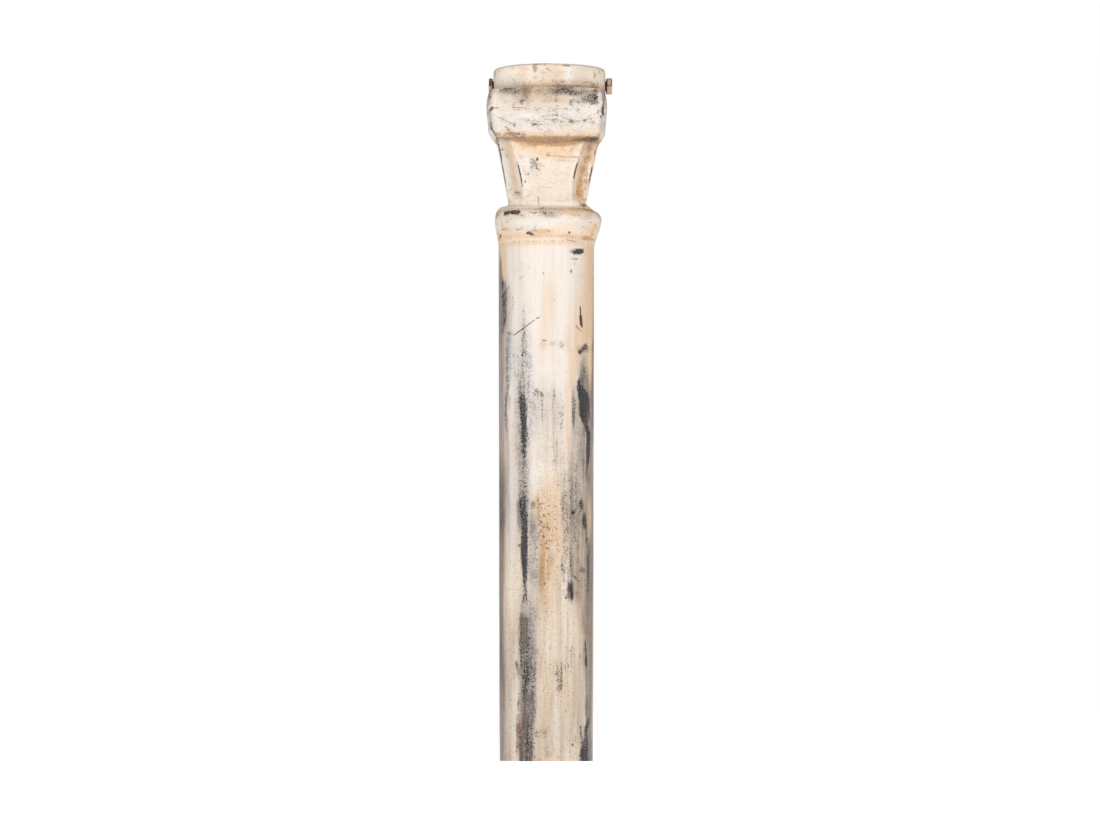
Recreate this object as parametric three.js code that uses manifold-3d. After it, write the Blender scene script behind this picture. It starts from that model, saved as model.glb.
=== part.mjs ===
// Top length of a cast iron column: a round shaft with a bead, a fluted square neck,
// a bowed square collar and a round socket rim, with two hex bolts through the rim.
// Millimetres, +Z up, the viewer's side is -Y. The origin is on the shaft's axis, at its cut foot.

import * as THREE from 'three';
import { mergeVertices } from 'three/addons/utils/BufferGeometryUtils.js';
import { ParametricGeometry } from 'three/addons/geometries/ParametricGeometry.js';
import Module from 'manifold-3d';

// Shaft
const shaftRadiusFoot = 58.4;
const shaftRadiusTop = 60.0;
const shaftTop = 640;

// Bead round the head of the shaft
const beadRadius = 66.8;
const beadWidest = 674;
const beadLedgeRadius = 59.5;
const beadLedgeFull = 690.5;
const beadLedgeBevelled = 684.5;

// Fluted square neck: its faces lean outwards and widen upwards
const neckFoot = 694.5;
const neckTop = 772.5;
const neckHalfFoot = 48.2;
const neckHalfTop = 63.0;
const neckFaceFoot = 30.2;
const neckFaceTop = 49.0;
const neckFaceFlare = 1.65;
const fluteDepth = 6.0;
const fluteStopHeight = 10;
const fluteStopSwell = 1.5;

// Bowed square collar with a rounded lower edge that sags at the middle of each face
const collarHalf = 75.9;
const collarWidest = 816;
const collarEdgeHalf = 73.7;
const collarEdge = 791;
const collarTop = 832.2;
const collarTopHalf = 73.5;
const collarBow = 6;
const collarCorner = 7.5;
const collarFootCorner = 4.5;
const sagFront = 7;
const sagSide = 4;
const crownFront = 2.4;

// Round rim of the socket
const rimRadius = 70.4;
const rimFoot = 833.2;
const columnTop = 864;
const rimFillet = 4.5;

// Hollow core: a bore through the shaft and a wider socket behind the collar and rim
const boreRadius = 38;
const socketRadius = 50;
const socketFloor = 814;

// The members of the casting stand a little out of line with the shaft, along X
const beadShift = 2.6;
const neckFootShift = 1.1;
const neckTopShift = 1.6;
const collarShift = 0.6;
const rimShift = 3.9;

// Hex bolts through the rim wall: the left one has a thinner head. A reach is from the rim's axis
const boltHeight = 843;
const boltAcrossFlats = 19;
const leftHeadDepth = 5.2;
const leftHeadReach = 76.0;
const rightHeadDepth = 7.6;
const rightHeadReach = 78.5;
const boltChamfer = 1.6;
const shankRadius = 6.35;
const shankTip = 45;
const boltHoleRadius = 6.65;

// Points round every level of the casting: the same count on circles and squares
const faceSteps = 14;
const cornerSteps = 6;
const quarterSteps = faceSteps + cornerSteps;
const roundSteps = 4 * quarterSteps;

const wasm = await Module();
wasm.setup();

const mix = THREE.MathUtils.lerp;
const quarterTurn = Math.PI / 2;

// Which quarter a point belongs to, and how far it is along that quarter's face or corner
function placeOf(index) {
  const quarter = Math.floor(index / quarterSteps);
  const step = index % quarterSteps;
  const onFace = step <= faceSteps;
  return {
    quarter,
    across: onFace ? (2 * step) / faceSteps - 1 : 1,
    round: onFace ? 0 : (step - faceSteps) / cornerSteps,
  };
}

// Angle of a point on a circle, counted from +X, with the first face centred on -Y
function angleOf(index) {
  const faceAngle = (quarterTurn * faceSteps) / quarterSteps;
  return -quarterTurn - faceAngle / 2 + (quarterTurn * index) / quarterSteps;
}

function circlePoint(index, radius) {
  const angle = angleOf(index);
  return new THREE.Vector2(radius * Math.cos(angle), radius * Math.sin(angle));
}

// A square with four alike faces. bow is how far a face swells in its middle, and swell is how
// far a corner stands out from its chord: negative for a flute, positive for a rounded corner.
function squarePoint(index, { half, face, bow, swell }) {
  const { quarter, across, round } = placeOf(index);
  const faceEnd = new THREE.Vector2(face, bow - half);
  const nextFaceEnd = new THREE.Vector2(half - bow, -face);
  const point = new THREE.Vector2(face * across, bow * across * across - half);
  if (round > 0) {
    const outward = (swell * 4 * round * (1 - round)) / Math.SQRT2;
    point.lerpVectors(faceEnd, nextFaceEnd, round);
    point.add(new THREE.Vector2(outward, -outward));
  }
  return point.rotateAround(new THREE.Vector2(), quarter * quarterTurn);
}

// Sideways shift of the casting at a height, straight from one member to the next
function shiftAt(z) {
  const members = [
    [shaftTop, 0],
    [beadWidest, beadShift],
    [beadLedgeFull, beadShift],
    [neckFoot, neckFootShift],
    [neckTop, neckTopShift],
    [collarEdge, collarShift],
    [collarTop, collarShift],
    [rimFoot, rimShift],
  ];
  const above = members.findIndex(([height]) => height >= z);
  if (above === 0) return members[0][1];
  if (above < 0) return rimShift;
  const [lowHeight, lowShift] = members[above - 1];
  const [highHeight, highShift] = members[above];
  return mix(lowShift, highShift, (z - lowHeight) / (highHeight - lowHeight));
}

// A level is a closed ring of points round the casting
function level(pointAt, heightAt) {
  return Array.from({ length: roundSteps }, (_, index) => {
    const point = pointAt(index);
    const z = heightAt(index);
    return new THREE.Vector3(point.x + shiftAt(z), point.y, z);
  });
}

function circleLevel(radius, z) {
  return level((index) => circlePoint(index, radius), () => z);
}

// A level of the hollow, with a centre of its own
function hollowLevel(radius, z, shift) {
  return circleLevel(radius, z).map((point) => point.setX(point.x + shift - shiftAt(z)));
}

function shaftLevels() {
  return [circleLevel(shaftRadiusFoot, 0), circleLevel(shaftRadiusTop, shaftTop)];
}

// The bead flares out from the shaft and turns back over a shoulder, which is full and round
// towards -X and a plain bevel towards +X
function beadLevels() {
  const flare = new THREE.CubicBezierCurve(
    new THREE.Vector2(shaftRadiusTop, shaftTop),
    new THREE.Vector2(shaftRadiusTop, mix(shaftTop, beadWidest, 0.3)),
    new THREE.Vector2(beadRadius, mix(shaftTop, beadWidest, 0.65)),
    new THREE.Vector2(beadRadius, beadWidest),
  );
  const flareSteps = 5;
  const shoulderSteps = 6;
  const flareLevels = flare
    .getPoints(flareSteps)
    .slice(1)
    .map((point) => circleLevel(point.x, point.y));
  const shoulderAt = (index, along) => {
    const bevelled = (1 + Math.cos(angleOf(index))) / 2;
    const ledge = mix(beadLedgeFull, beadLedgeBevelled, bevelled);
    const turn = mix(0.3, 0.5, bevelled);
    const shoulder = new THREE.CubicBezierCurve(
      new THREE.Vector2(beadRadius, beadWidest),
      new THREE.Vector2(beadRadius, mix(beadWidest, ledge, 0.55)),
      new THREE.Vector2(mix(beadRadius, beadLedgeRadius, turn), mix(beadWidest, ledge, 0.9)),
      new THREE.Vector2(beadLedgeRadius, ledge),
    );
    return shoulder.getPoint(along);
  };
  const shoulderLevels = Array.from({ length: shoulderSteps }, (_, step) => {
    const along = (step + 1) / shoulderSteps;
    return level(
      (index) => circlePoint(index, shoulderAt(index, along).x),
      (index) => shoulderAt(index, along).y,
    );
  });
  return [...flareLevels, ...shoulderLevels];
}

// An arch along each face, highest in its middle: one rise for front and back, one for the sides
function archAt(index, frontRise, sideRise) {
  const { quarter, across } = placeOf(index);
  const rise = quarter % 2 === 0 ? frontRise : sideRise;
  return rise * (1 - across * across);
}

// How far the collar's lower edge hangs down at a point
function sagAt(index) {
  return archAt(index, sagFront, sagSide);
}

// The neck's corners are concave flutes, which run out on sloped stops above the bead
function neckLevels() {
  const heights = [0, 0.4, 1].map((part) => neckFoot + part * fluteStopHeight);
  const fluteSteps = 5;
  const fluteFoot = neckFoot + fluteStopHeight;
  for (let step = 1; step <= fluteSteps; step += 1) {
    heights.push(mix(fluteFoot, neckTop, step / fluteSteps));
  }
  return heights.map((height) => {
    const up = (height - neckFoot) / (neckTop - neckFoot);
    const stop = Math.min(1, (height - neckFoot) / fluteStopHeight);
    const section = {
      half: mix(neckHalfFoot, neckHalfTop, up),
      face: mix(neckFaceFoot, neckFaceTop, up ** neckFaceFlare),
      bow: 0,
      swell: mix(fluteStopSwell, -fluteDepth, stop),
    };
    return level(
      (index) => squarePoint(index, section),
      (index) => height - sagAt(index) * up ** 2,
    );
  });
}

// A level of the collar. Its faces bow and its corners open out as it widens from the neck, its
// lower levels sag in the middle of each face, and its top ones crown in front and behind.
function collarLevel(half, height) {
  const spread = THREE.MathUtils.clamp((half - neckHalfTop) / (collarEdgeHalf - neckHalfTop), 0, 1);
  const sagging = 1 - THREE.MathUtils.smoothstep(height, neckTop, collarEdge + 8);
  const crowning = THREE.MathUtils.smoothstep(height, collarWidest, collarTop);
  const bow = collarBow * spread;
  const corner = mix(collarFootCorner, collarCorner, spread);
  const section = {
    half,
    face: half - bow - corner,
    bow,
    swell: corner * (1 - Math.SQRT1_2),
  };
  return level(
    (index) => squarePoint(index, section),
    (index) => height - sagAt(index) * sagging + archAt(index, crownFront, 0) * crowning,
  );
}

// The collar's lower edge is a quarter round with a short cove under it
function collarLevels() {
  const edge = new THREE.CubicBezierCurve(
    new THREE.Vector2(neckHalfTop, neckTop + 0.5),
    new THREE.Vector2(neckHalfTop + 2.5, neckTop + 6),
    new THREE.Vector2(collarEdgeHalf, neckTop + 7.5),
    new THREE.Vector2(collarEdgeHalf, collarEdge),
  );
  const edgeSteps = 6;
  const face = [
    new THREE.Vector2(mix(collarEdgeHalf, collarHalf, 0.6), mix(collarEdge, collarWidest, 0.5)),
    new THREE.Vector2(collarHalf, collarWidest),
    new THREE.Vector2(mix(collarHalf, collarTopHalf, 0.35), mix(collarWidest, collarTop, 0.6)),
    new THREE.Vector2(collarTopHalf, collarTop),
  ];
  return [...edge.getPoints(edgeSteps), ...face].map((point) => collarLevel(point.x, point.y));
}

// The rim's outer edge is rounded at the top
function rimLevels() {
  const filletSteps = 4;
  const filletLevels = Array.from({ length: filletSteps + 1 }, (_, step) => {
    const angle = (quarterTurn * step) / filletSteps;
    const radius = rimRadius - rimFillet * (1 - Math.cos(angle));
    return circleLevel(radius, columnTop - rimFillet * (1 - Math.sin(angle)));
  });
  return [circleLevel(rimRadius, rimFoot), ...filletLevels];
}

function hollowLevels() {
  return [
    hollowLevel(socketRadius, columnTop, rimShift),
    hollowLevel(socketRadius, socketFloor, rimShift),
    hollowLevel(boreRadius, socketFloor, 0),
    hollowLevel(boreRadius, 0, 0),
  ];
}

// A surface over levels, from the last back to the first, so that it closes on itself
function closedLoft(levels) {
  const surface = (u, v, target) => {
    const ring = levels[Math.round(v * levels.length) % levels.length];
    target.copy(ring[Math.round(u * roundSteps) % roundSteps]);
  };
  return new ParametricGeometry(surface, roundSteps, levels.length);
}

function toSolid(geometry) {
  const bare = geometry.clone();
  bare.deleteAttribute('normal');
  bare.deleteAttribute('uv');
  const merged = mergeVertices(bare, 1e-4);
  const mesh = new wasm.Mesh({
    numProp: 3,
    vertProperties: new Float32Array(merged.attributes.position.array),
    triVerts: new Uint32Array(merged.index.array),
  });
  return new wasm.Manifold(mesh);
}

function toGeometry(solid) {
  const mesh = solid.getMesh();
  const geometry = new THREE.BufferGeometry();
  geometry.setAttribute('position', new THREE.BufferAttribute(mesh.vertProperties, 3));
  geometry.setIndex(new THREE.BufferAttribute(mesh.triVerts, 1));
  geometry.computeVertexNormals();
  return geometry;
}

// A cylinder along X, from one distance to another
function cylinderAlongX(radius, from, to, segments) {
  const geometry = new THREE.CylinderGeometry(radius, radius, Math.abs(to - from), segments);
  geometry.rotateZ(quarterTurn);
  geometry.translate((from + to) / 2, 0, 0);
  return geometry;
}

// The casting, with a hole through the rim wall on each side for its bolt
function columnGeometry() {
  const levels = [
    ...shaftLevels(),
    ...beadLevels(),
    ...neckLevels(),
    ...collarLevels(),
    ...rimLevels(),
    ...hollowLevels(),
  ];
  const hole = cylinderAlongX(boltHoleRadius, -2 * rimRadius, 2 * rimRadius, 20);
  hole.translate(rimShift, 0, boltHeight);
  return toGeometry(toSolid(closedLoft(levels)).subtract(toSolid(hole)));
}

// A hex bolt along +X from the rim's axis: a chamfered head with a corner towards -Y, and a shank
function boltGeometry(headDepth, headReach) {
  const headFoot = headReach - headDepth;
  const cornerRadius = boltAcrossFlats / Math.sqrt(3);
  const prism = cylinderAlongX(cornerRadius, headFoot, headReach, 6);
  prism.rotateX(Math.PI / 6);
  const faceRadius = boltAcrossFlats / 2 - boltChamfer / 2;
  const envelope = new THREE.LatheGeometry(
    [
      new THREE.Vector2(0, headFoot - 1),
      new THREE.Vector2(cornerRadius + 1, headFoot - 1),
      new THREE.Vector2(cornerRadius + 1, headReach - boltChamfer),
      new THREE.Vector2(faceRadius, headReach),
      new THREE.Vector2(0, headReach),
    ],
    24,
  );
  envelope.rotateZ(-quarterTurn);
  const shank = cylinderAlongX(shankRadius, shankTip, headFoot + 1, 20);
  return toGeometry(toSolid(prism).intersect(toSolid(envelope)).add(toSolid(shank)));
}

const paintedIron = new THREE.MeshStandardMaterial({ color: 0xe4d8c8, roughness: 0.5, metalness: 0.0 });
const rustyIron = new THREE.MeshStandardMaterial({ color: 0x9a6a4c, roughness: 0.7, metalness: 0.35 });

const part = new THREE.Group();

const column = new THREE.Mesh(columnGeometry(), paintedIron);
column.name = 'column';
part.add(column);

const boltLeft = new THREE.Mesh(boltGeometry(leftHeadDepth, leftHeadReach), rustyIron);
boltLeft.name = 'bolt_left';
boltLeft.position.set(rimShift, 0, boltHeight);
boltLeft.rotation.z = Math.PI;
part.add(boltLeft);

const boltRight = new THREE.Mesh(boltGeometry(rightHeadDepth, rightHeadReach), rustyIron);
boltRight.name = 'bolt_right';
boltRight.position.set(rimShift, 0, boltHeight);
part.add(boltRight);

export default part;
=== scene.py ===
import math

import bmesh
import bpy
import numpy as np
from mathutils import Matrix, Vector, noise


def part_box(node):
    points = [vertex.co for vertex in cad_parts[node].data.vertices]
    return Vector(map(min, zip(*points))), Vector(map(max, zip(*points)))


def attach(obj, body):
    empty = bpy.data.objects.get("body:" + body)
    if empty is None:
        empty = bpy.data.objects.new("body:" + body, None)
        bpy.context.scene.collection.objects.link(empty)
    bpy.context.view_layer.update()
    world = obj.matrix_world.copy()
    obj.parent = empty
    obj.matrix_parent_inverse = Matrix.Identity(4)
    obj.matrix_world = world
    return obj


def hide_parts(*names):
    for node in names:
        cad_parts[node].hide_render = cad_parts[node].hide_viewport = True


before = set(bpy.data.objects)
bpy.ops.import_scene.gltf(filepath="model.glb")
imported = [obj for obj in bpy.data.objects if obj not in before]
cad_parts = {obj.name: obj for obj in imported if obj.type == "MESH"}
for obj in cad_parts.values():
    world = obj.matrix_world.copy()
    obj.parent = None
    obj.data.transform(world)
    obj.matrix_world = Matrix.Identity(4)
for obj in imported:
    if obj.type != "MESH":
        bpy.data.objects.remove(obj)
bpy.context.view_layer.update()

# Sizes are in millimetres until they become mesh coordinates
MM = 0.001

# The casting, as its CAD solid has it. A lean is an inner point of a curve, which it bends towards
COLUMN_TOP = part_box("column")[1].z / MM
SHAFT_FOOT_RADIUS = 58.4
SHAFT_TOP_RADIUS = 60.0
SHAFT_TOP = 640.0
BEAD_RADIUS = 66.8
BEAD_WIDEST = 674.0
BEAD_FLARE_LEANS = (650.2, 662.1)
BEAD_SHOULDER_LEANS = (0.55, 0.9)
BEAD_SHOULDER_TURN = (0.3, 0.5)
LEDGE_RADIUS = 59.5
LEDGE_FULL = 690.5
LEDGE_BEVELLED = 684.5
LEDGE_TURN_UP = 6.0
NECK_FOOT = 694.5
NECK_TOP = 772.5
NECK_HALF_FOOT = 48.2
NECK_HALF_TOP = 63.0
NECK_FACE_FOOT = 30.2
NECK_FACE_TOP = 49.0
NECK_FACE_FLARE = 1.65
FLUTE_DEPTH = 6.0
FLUTE_STOP_HEIGHT = 10.0
FLUTE_STOP_SWELL = 1.5
COLLAR_FOOT = 773.0
COLLAR_EDGE = 791.0
COLLAR_EDGE_HALF = 73.7
COLLAR_EDGE_LEAN_OUT = (65.5, 778.5)
COLLAR_EDGE_LEAN_UP = 780.0
COLLAR_LOWER = 803.5
COLLAR_LOWER_HALF = 75.02
COLLAR_WIDEST = 816.0
COLLAR_HALF = 75.9
COLLAR_UPPER = 825.72
COLLAR_UPPER_HALF = 75.06
COLLAR_TOP = 832.2
COLLAR_TOP_HALF = 73.5
COLLAR_BOW = 6.0
COLLAR_CORNER = 7.5
COLLAR_FOOT_CORNER = 4.5
SAG_FRONT = 7.0
SAG_SIDE = 4.0
SAG_END = 799.0
CROWN_FRONT = 2.4
RIM_RADIUS = 70.4
RIM_FOOT = 833.2
RIM_FILLET = 4.5
BORE_RADIUS = 38.0
SOCKET_RADIUS = 50.0
SOCKET_FLOOR = 814.0
BEAD_SHIFT = 2.6
NECK_FOOT_SHIFT = 1.1
NECK_TOP_SHIFT = 1.6
COLLAR_SHIFT = 0.6
RIM_SHIFT = 3.9

# The bolts, as their CAD solids have them. Each head has a foot and a reach from the rim's axis
BOLT_HEIGHT = 843.0
BOLT_ACROSS_FLATS = 19.0
BOLT_CHAMFER = 1.6
BOLT_SHANK_RADIUS = 6.35
BOLT_TIP_RADIUS = 5.55
BOLT_TIP_BEVEL = 0.8
BOLT_TIP = 45.0
LEFT_BOLT_HEAD = (70.8, 76.0)
RIGHT_BOLT_HEAD = (70.9, 78.5)

# The mesh: points in each quarter round the casting, front first, and the spacing of its levels
QUARTER_STEPS = [84, 48, 40, 48]
FACE_PART = 0.7
SHAFT_SPACING = 3.0
HEAD_SPACING = 1.7
SHOULDER_LEVELS = 11
LEDGE_LEVELS = 9
SHELF_LEVELS = 5
COLLAR_EDGE_LEVELS = 16
RING_LEVELS = 6
BORE_LEVELS = 16
BOLT_STEPS = 96
BOLT_LEVELS = 8
JOINED_WITHIN = 0.02
CASTING_CREASE = 60
BOLT_CREASE = 28

# Unevenness: sizes and depths on the shaft and on the head, and the height over which these change
WAVE_SIZES = (90, 36)
WAVE_DEPTHS = (0.25, 0.5)
WAVE_CHANGE = 40
LUMP_SIZE = 8
LUMP_DEPTHS = (0.05, 0.16)
SKIN_INSET = 0.25
DENT_DEPTH = 1.6
PIT_SIZE = 2.2
PIT_DEPTH = 0.3
PIT_INSET = 0.06

# The shaft's stains give way to the head's between these heights, and to the back's over an arc
HEAD_STAINS_FROM = 643.0
HEAD_STAINS_WHOLE = 650.0
BACK_BLEND = 30.0
BACK_STRENGTH = 0.9
SIDE_STRENGTH = 0.85
ARRIS_SIDE_STRENGTH = 0.8
ARRIS_HALF_WIDTH = (0.9, 3.0)
SAG_HALF_WIDTH = 62.0

# The rim's marks fade out on its top face between these radii
TOP_CLEAN_RADIUS = 62.0
TOP_MARKED_RADIUS = 70.0

# A stain is whole up to the first part of its half width, and gone at the second
OVAL_FADE = (0.4, 1.4)
STREAK_FADE = (0.35, 1.55)
STREAK_END = 6.0

# The camera stands low and far off, and looks up a little
CAMERA_DISTANCE = 6200.0
CAMERA_HEIGHT = 76.0
CAMERA_SIDE = 4.6
CAMERA_PITCH = math.radians(3.309)
CAMERA_LENS = 162.85
CAMERA_CLIP = (0.1, 100)
SENSOR_WIDTH = 36.0

# Two soft lights stand in front, one on each side, and face the column, in metres and watts
SOFTBOX_AZIMUTH = 36
SOFTBOX_DISTANCE = 2.4
SOFTBOX_HEIGHT = 1.45
SOFTBOX_TARGET = 0.55
SOFTBOX_WIDTH = 0.5
SOFTBOX_TALL = 1.3
SOFTBOX_POWER = 22
WORLD_STRENGTH = 0.3
WORLD_WARMTH = (1.0, 0.97, 0.94, 1.0)
FLOOR_REACH = 30
FLOOR_GLOW = 0.88
WHITE = (1.0, 1.0, 1.0, 1.0)


def smooth_step(value, low, high):
    part = np.clip((value - low) / (high - low), 0.0, 1.0)
    return part * part * (3.0 - 2.0 * part)


def mix(first, second, part):
    return first + (second - first) * part


# Every level of the casting has the same points: faces of a square with corners between them

def ring_points():
    """For each point of a level: its quarter, its place across the face, and round the corner."""
    rows = []
    for quarter, steps in enumerate(QUARTER_STEPS):
        face_steps = round(FACE_PART * steps)
        for step in range(steps):
            across = min(1.0, 2.0 * step / face_steps - 1.0)
            around = max(0.0, (step - face_steps) / (steps - face_steps))
            turn = mix(0, FACE_PART, (across + 1) / 2) + (1 - FACE_PART) * around
            angle = math.pi / 2 * (quarter + turn - 1 - FACE_PART / 2)
            rows.append((quarter, across, around, angle))
    return np.array(rows).T


ring_quarter, ring_across, ring_round, ring_angle = ring_points()
ROUND_STEPS = len(ring_angle)
on_face = ring_round == 0

# How far the bead's shoulder is bevelled, from 0 on the left to 1 on the right
bevelled = (1 + np.cos(ring_angle)) / 2


def circle_outline(radius):
    return np.stack([radius * np.cos(ring_angle), radius * np.sin(ring_angle)], axis=1)


def square_outline(half, face, bow, swell):
    """Four alike faces that bow by bow, with corners that stand out from their chord by swell."""
    outward = swell * 4 * ring_round * (1 - ring_round) / math.sqrt(2)
    on_corner = mix(face, half - bow, ring_round) + outward
    behind_corner = mix(bow - half, -face, ring_round) - outward
    across = np.where(on_face, face * ring_across, on_corner)
    behind = np.where(on_face, bow * ring_across**2 - half, behind_corner)
    turn = ring_quarter * math.pi / 2
    x = across * np.cos(turn) - behind * np.sin(turn)
    y = across * np.sin(turn) + behind * np.cos(turn)
    return np.stack([x, y], axis=1)


def arch(front_rise, side_rise):
    """An arch along each face, highest in its middle."""
    rise = np.where(ring_quarter % 2 == 0, front_rise, side_rise)
    return rise * (1 - ring_across**2)


# How far each member stands to the right of the shaft's axis, by height
MEMBER_SHIFTS = {
    SHAFT_TOP: 0.0,
    BEAD_WIDEST: BEAD_SHIFT,
    LEDGE_FULL: BEAD_SHIFT,
    NECK_FOOT: NECK_FOOT_SHIFT,
    NECK_TOP: NECK_TOP_SHIFT,
    COLLAR_EDGE: COLLAR_SHIFT,
    COLLAR_TOP: COLLAR_SHIFT,
    RIM_FOOT: RIM_SHIFT,
}


def member_shift(height):
    return np.interp(height, list(MEMBER_SHIFTS), list(MEMBER_SHIFTS.values()))


def level(outline, height, shift=None):
    """A closed ring of points round the casting, moved sideways with its member or by shift."""
    height = np.broadcast_to(height, ROUND_STEPS)
    shift = member_shift(height) if shift is None else shift
    return np.stack([outline[:, 0] + shift, outline[:, 1], height], axis=1)


def round_level(radius, height, shift=None):
    return level(circle_outline(radius), height, shift)


def curve_point(start, lean_out, lean_in, end, part):
    """A point of a cubic curve."""
    rest = 1 - part
    return rest**3 * start + 3 * rest**2 * part * lean_out + 3 * rest * part**2 * lean_in + part**3 * end


def parts(count):
    """Even parts of 1, up to 1 itself."""
    return np.linspace(0, 1, count + 1)[1:]


def between(first, last, count):
    """Levels spread evenly from one level to another, with the last of them but not the first."""
    return [mix(first, last, part) for part in parts(count)]


def shaft_levels():
    foot = round_level(SHAFT_FOOT_RADIUS, 0)
    top = round_level(SHAFT_TOP_RADIUS, SHAFT_TOP)
    return [foot, *between(foot, top, round(SHAFT_TOP / SHAFT_SPACING))]


def bead_levels():
    flare_count = round((BEAD_WIDEST - SHAFT_TOP) / HEAD_SPACING)
    flare = []
    for part in parts(flare_count):
        radius = curve_point(SHAFT_TOP_RADIUS, SHAFT_TOP_RADIUS, BEAD_RADIUS, BEAD_RADIUS, part)
        height = curve_point(SHAFT_TOP, *BEAD_FLARE_LEANS, BEAD_WIDEST, part)
        flare.append(round_level(radius, height))
    ledge = mix(LEDGE_FULL, LEDGE_BEVELLED, bevelled)
    turn_in = mix(BEAD_RADIUS, LEDGE_RADIUS, mix(*BEAD_SHOULDER_TURN, bevelled))
    leans = [mix(BEAD_WIDEST, ledge, lean) for lean in BEAD_SHOULDER_LEANS]
    shoulder = []
    for part in parts(SHOULDER_LEVELS):
        radius = curve_point(BEAD_RADIUS, BEAD_RADIUS, turn_in, LEDGE_RADIUS, part)
        height = curve_point(BEAD_WIDEST, *leans, ledge, part)
        shoulder.append(level(circle_outline(1.0) * radius[:, None], height))
    return flare + shoulder


def neck_section(height):
    """Half the neck's width at a height, and how far its face runs from its middle."""
    up = np.clip((height - NECK_FOOT) / (NECK_TOP - NECK_FOOT), 0, 1)
    half = mix(NECK_HALF_FOOT, NECK_HALF_TOP, up)
    return half, mix(NECK_FACE_FOOT, NECK_FACE_TOP, up**NECK_FACE_FLARE)


def neck_outline(height):
    stop = min(1.0, (height - NECK_FOOT) / FLUTE_STOP_HEIGHT)
    return square_outline(*neck_section(height), 0.0, mix(FLUTE_STOP_SWELL, -FLUTE_DEPTH, stop))


def neck_levels():
    # The bead's ledge runs in to the neck's foot, level on the left and sloping on the right
    ledge = bead_levels()[-1]
    foot = level(neck_outline(NECK_FOOT), NECK_FOOT)
    turn_up = mix(LEDGE_TURN_UP, 1.0, bevelled**2)
    inward = []
    for part in parts(LEDGE_LEVELS):
        run = mix(ledge, foot, part)
        run[:, 2] = mix(ledge[:, 2], foot[:, 2], part**turn_up)
        inward.append(run)
    count = round((NECK_TOP - NECK_FOOT) / HEAD_SPACING)
    upward = []
    for part in parts(count):
        height = mix(NECK_FOOT, NECK_TOP, part)
        upward.append(level(neck_outline(height), height - arch(SAG_FRONT, SAG_SIDE) * part**2))
    return inward + upward


def collar_level(half, height):
    spread = min(1.0, max(0.0, (half - NECK_HALF_TOP) / (COLLAR_EDGE_HALF - NECK_HALF_TOP)))
    sag = arch(SAG_FRONT, SAG_SIDE) * (1 - smooth_step(height, NECK_TOP, SAG_END))
    crown = arch(CROWN_FRONT, 0) * smooth_step(height, COLLAR_WIDEST, COLLAR_TOP)
    bow = COLLAR_BOW * spread
    corner = mix(COLLAR_FOOT_CORNER, COLLAR_CORNER, spread)
    outline = square_outline(half, half - bow - corner, bow, corner * (1 - math.sqrt(0.5)))
    return level(outline, height - sag + crown)


def collar_levels():
    # The flutes run up under the collar
    neck_top = level(neck_outline(NECK_TOP), NECK_TOP - arch(SAG_FRONT, SAG_SIDE))
    under = between(neck_top, collar_level(NECK_HALF_TOP, COLLAR_FOOT), SHELF_LEVELS)
    lean_half, lean_height = COLLAR_EDGE_LEAN_OUT
    edge = []
    for part in parts(COLLAR_EDGE_LEVELS):
        half = curve_point(NECK_HALF_TOP, lean_half, COLLAR_EDGE_HALF, COLLAR_EDGE_HALF, part)
        height = curve_point(COLLAR_FOOT, lean_height, COLLAR_EDGE_LEAN_UP, COLLAR_EDGE, part)
        edge.append(collar_level(half, height))
    face = []
    count = round((COLLAR_TOP - COLLAR_EDGE) / HEAD_SPACING)
    halves = [COLLAR_EDGE_HALF, COLLAR_LOWER_HALF, COLLAR_HALF, COLLAR_UPPER_HALF, COLLAR_TOP_HALF]
    heights = [COLLAR_EDGE, COLLAR_LOWER, COLLAR_WIDEST, COLLAR_UPPER, COLLAR_TOP]
    for part in parts(count):
        height = mix(COLLAR_EDGE, COLLAR_TOP, part)
        face.append(collar_level(np.interp(height, heights, halves), height))
    return under + edge + face


def rim_levels():
    straight_top = COLUMN_TOP - RIM_FILLET
    count = round((straight_top - RIM_FOOT) / HEAD_SPACING)
    wall_foot = round_level(RIM_RADIUS, RIM_FOOT)
    ledge = between(collar_level(COLLAR_TOP_HALF, COLLAR_TOP), wall_foot, RING_LEVELS)
    wall = between(wall_foot, round_level(RIM_RADIUS, straight_top), count)
    fillet = []
    for part in parts(RING_LEVELS):
        angle = math.pi / 2 * part
        radius = RIM_RADIUS - RIM_FILLET * (1 - math.cos(angle))
        fillet.append(round_level(radius, straight_top + RIM_FILLET * math.sin(angle)))
    return ledge + wall + fillet


def hollow_levels():
    """Levels from the rim inwards, through the socket and the bore, to the foot of the shaft."""
    socket_count = round((COLUMN_TOP - SOCKET_FLOOR) / (2 * HEAD_SPACING))
    levels = [rim_levels()[-1]]
    for end, count in (
        (round_level(SOCKET_RADIUS, COLUMN_TOP), RING_LEVELS),
        (round_level(SOCKET_RADIUS, SOCKET_FLOOR, RIM_SHIFT), socket_count),
        (round_level(BORE_RADIUS, SOCKET_FLOOR, 0), SHELF_LEVELS),
        (round_level(BORE_RADIUS, 0), BORE_LEVELS),
        (shaft_levels()[0], RING_LEVELS),
    ):
        levels += between(levels[-1], end, count)
    return levels[1:-1]


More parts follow.
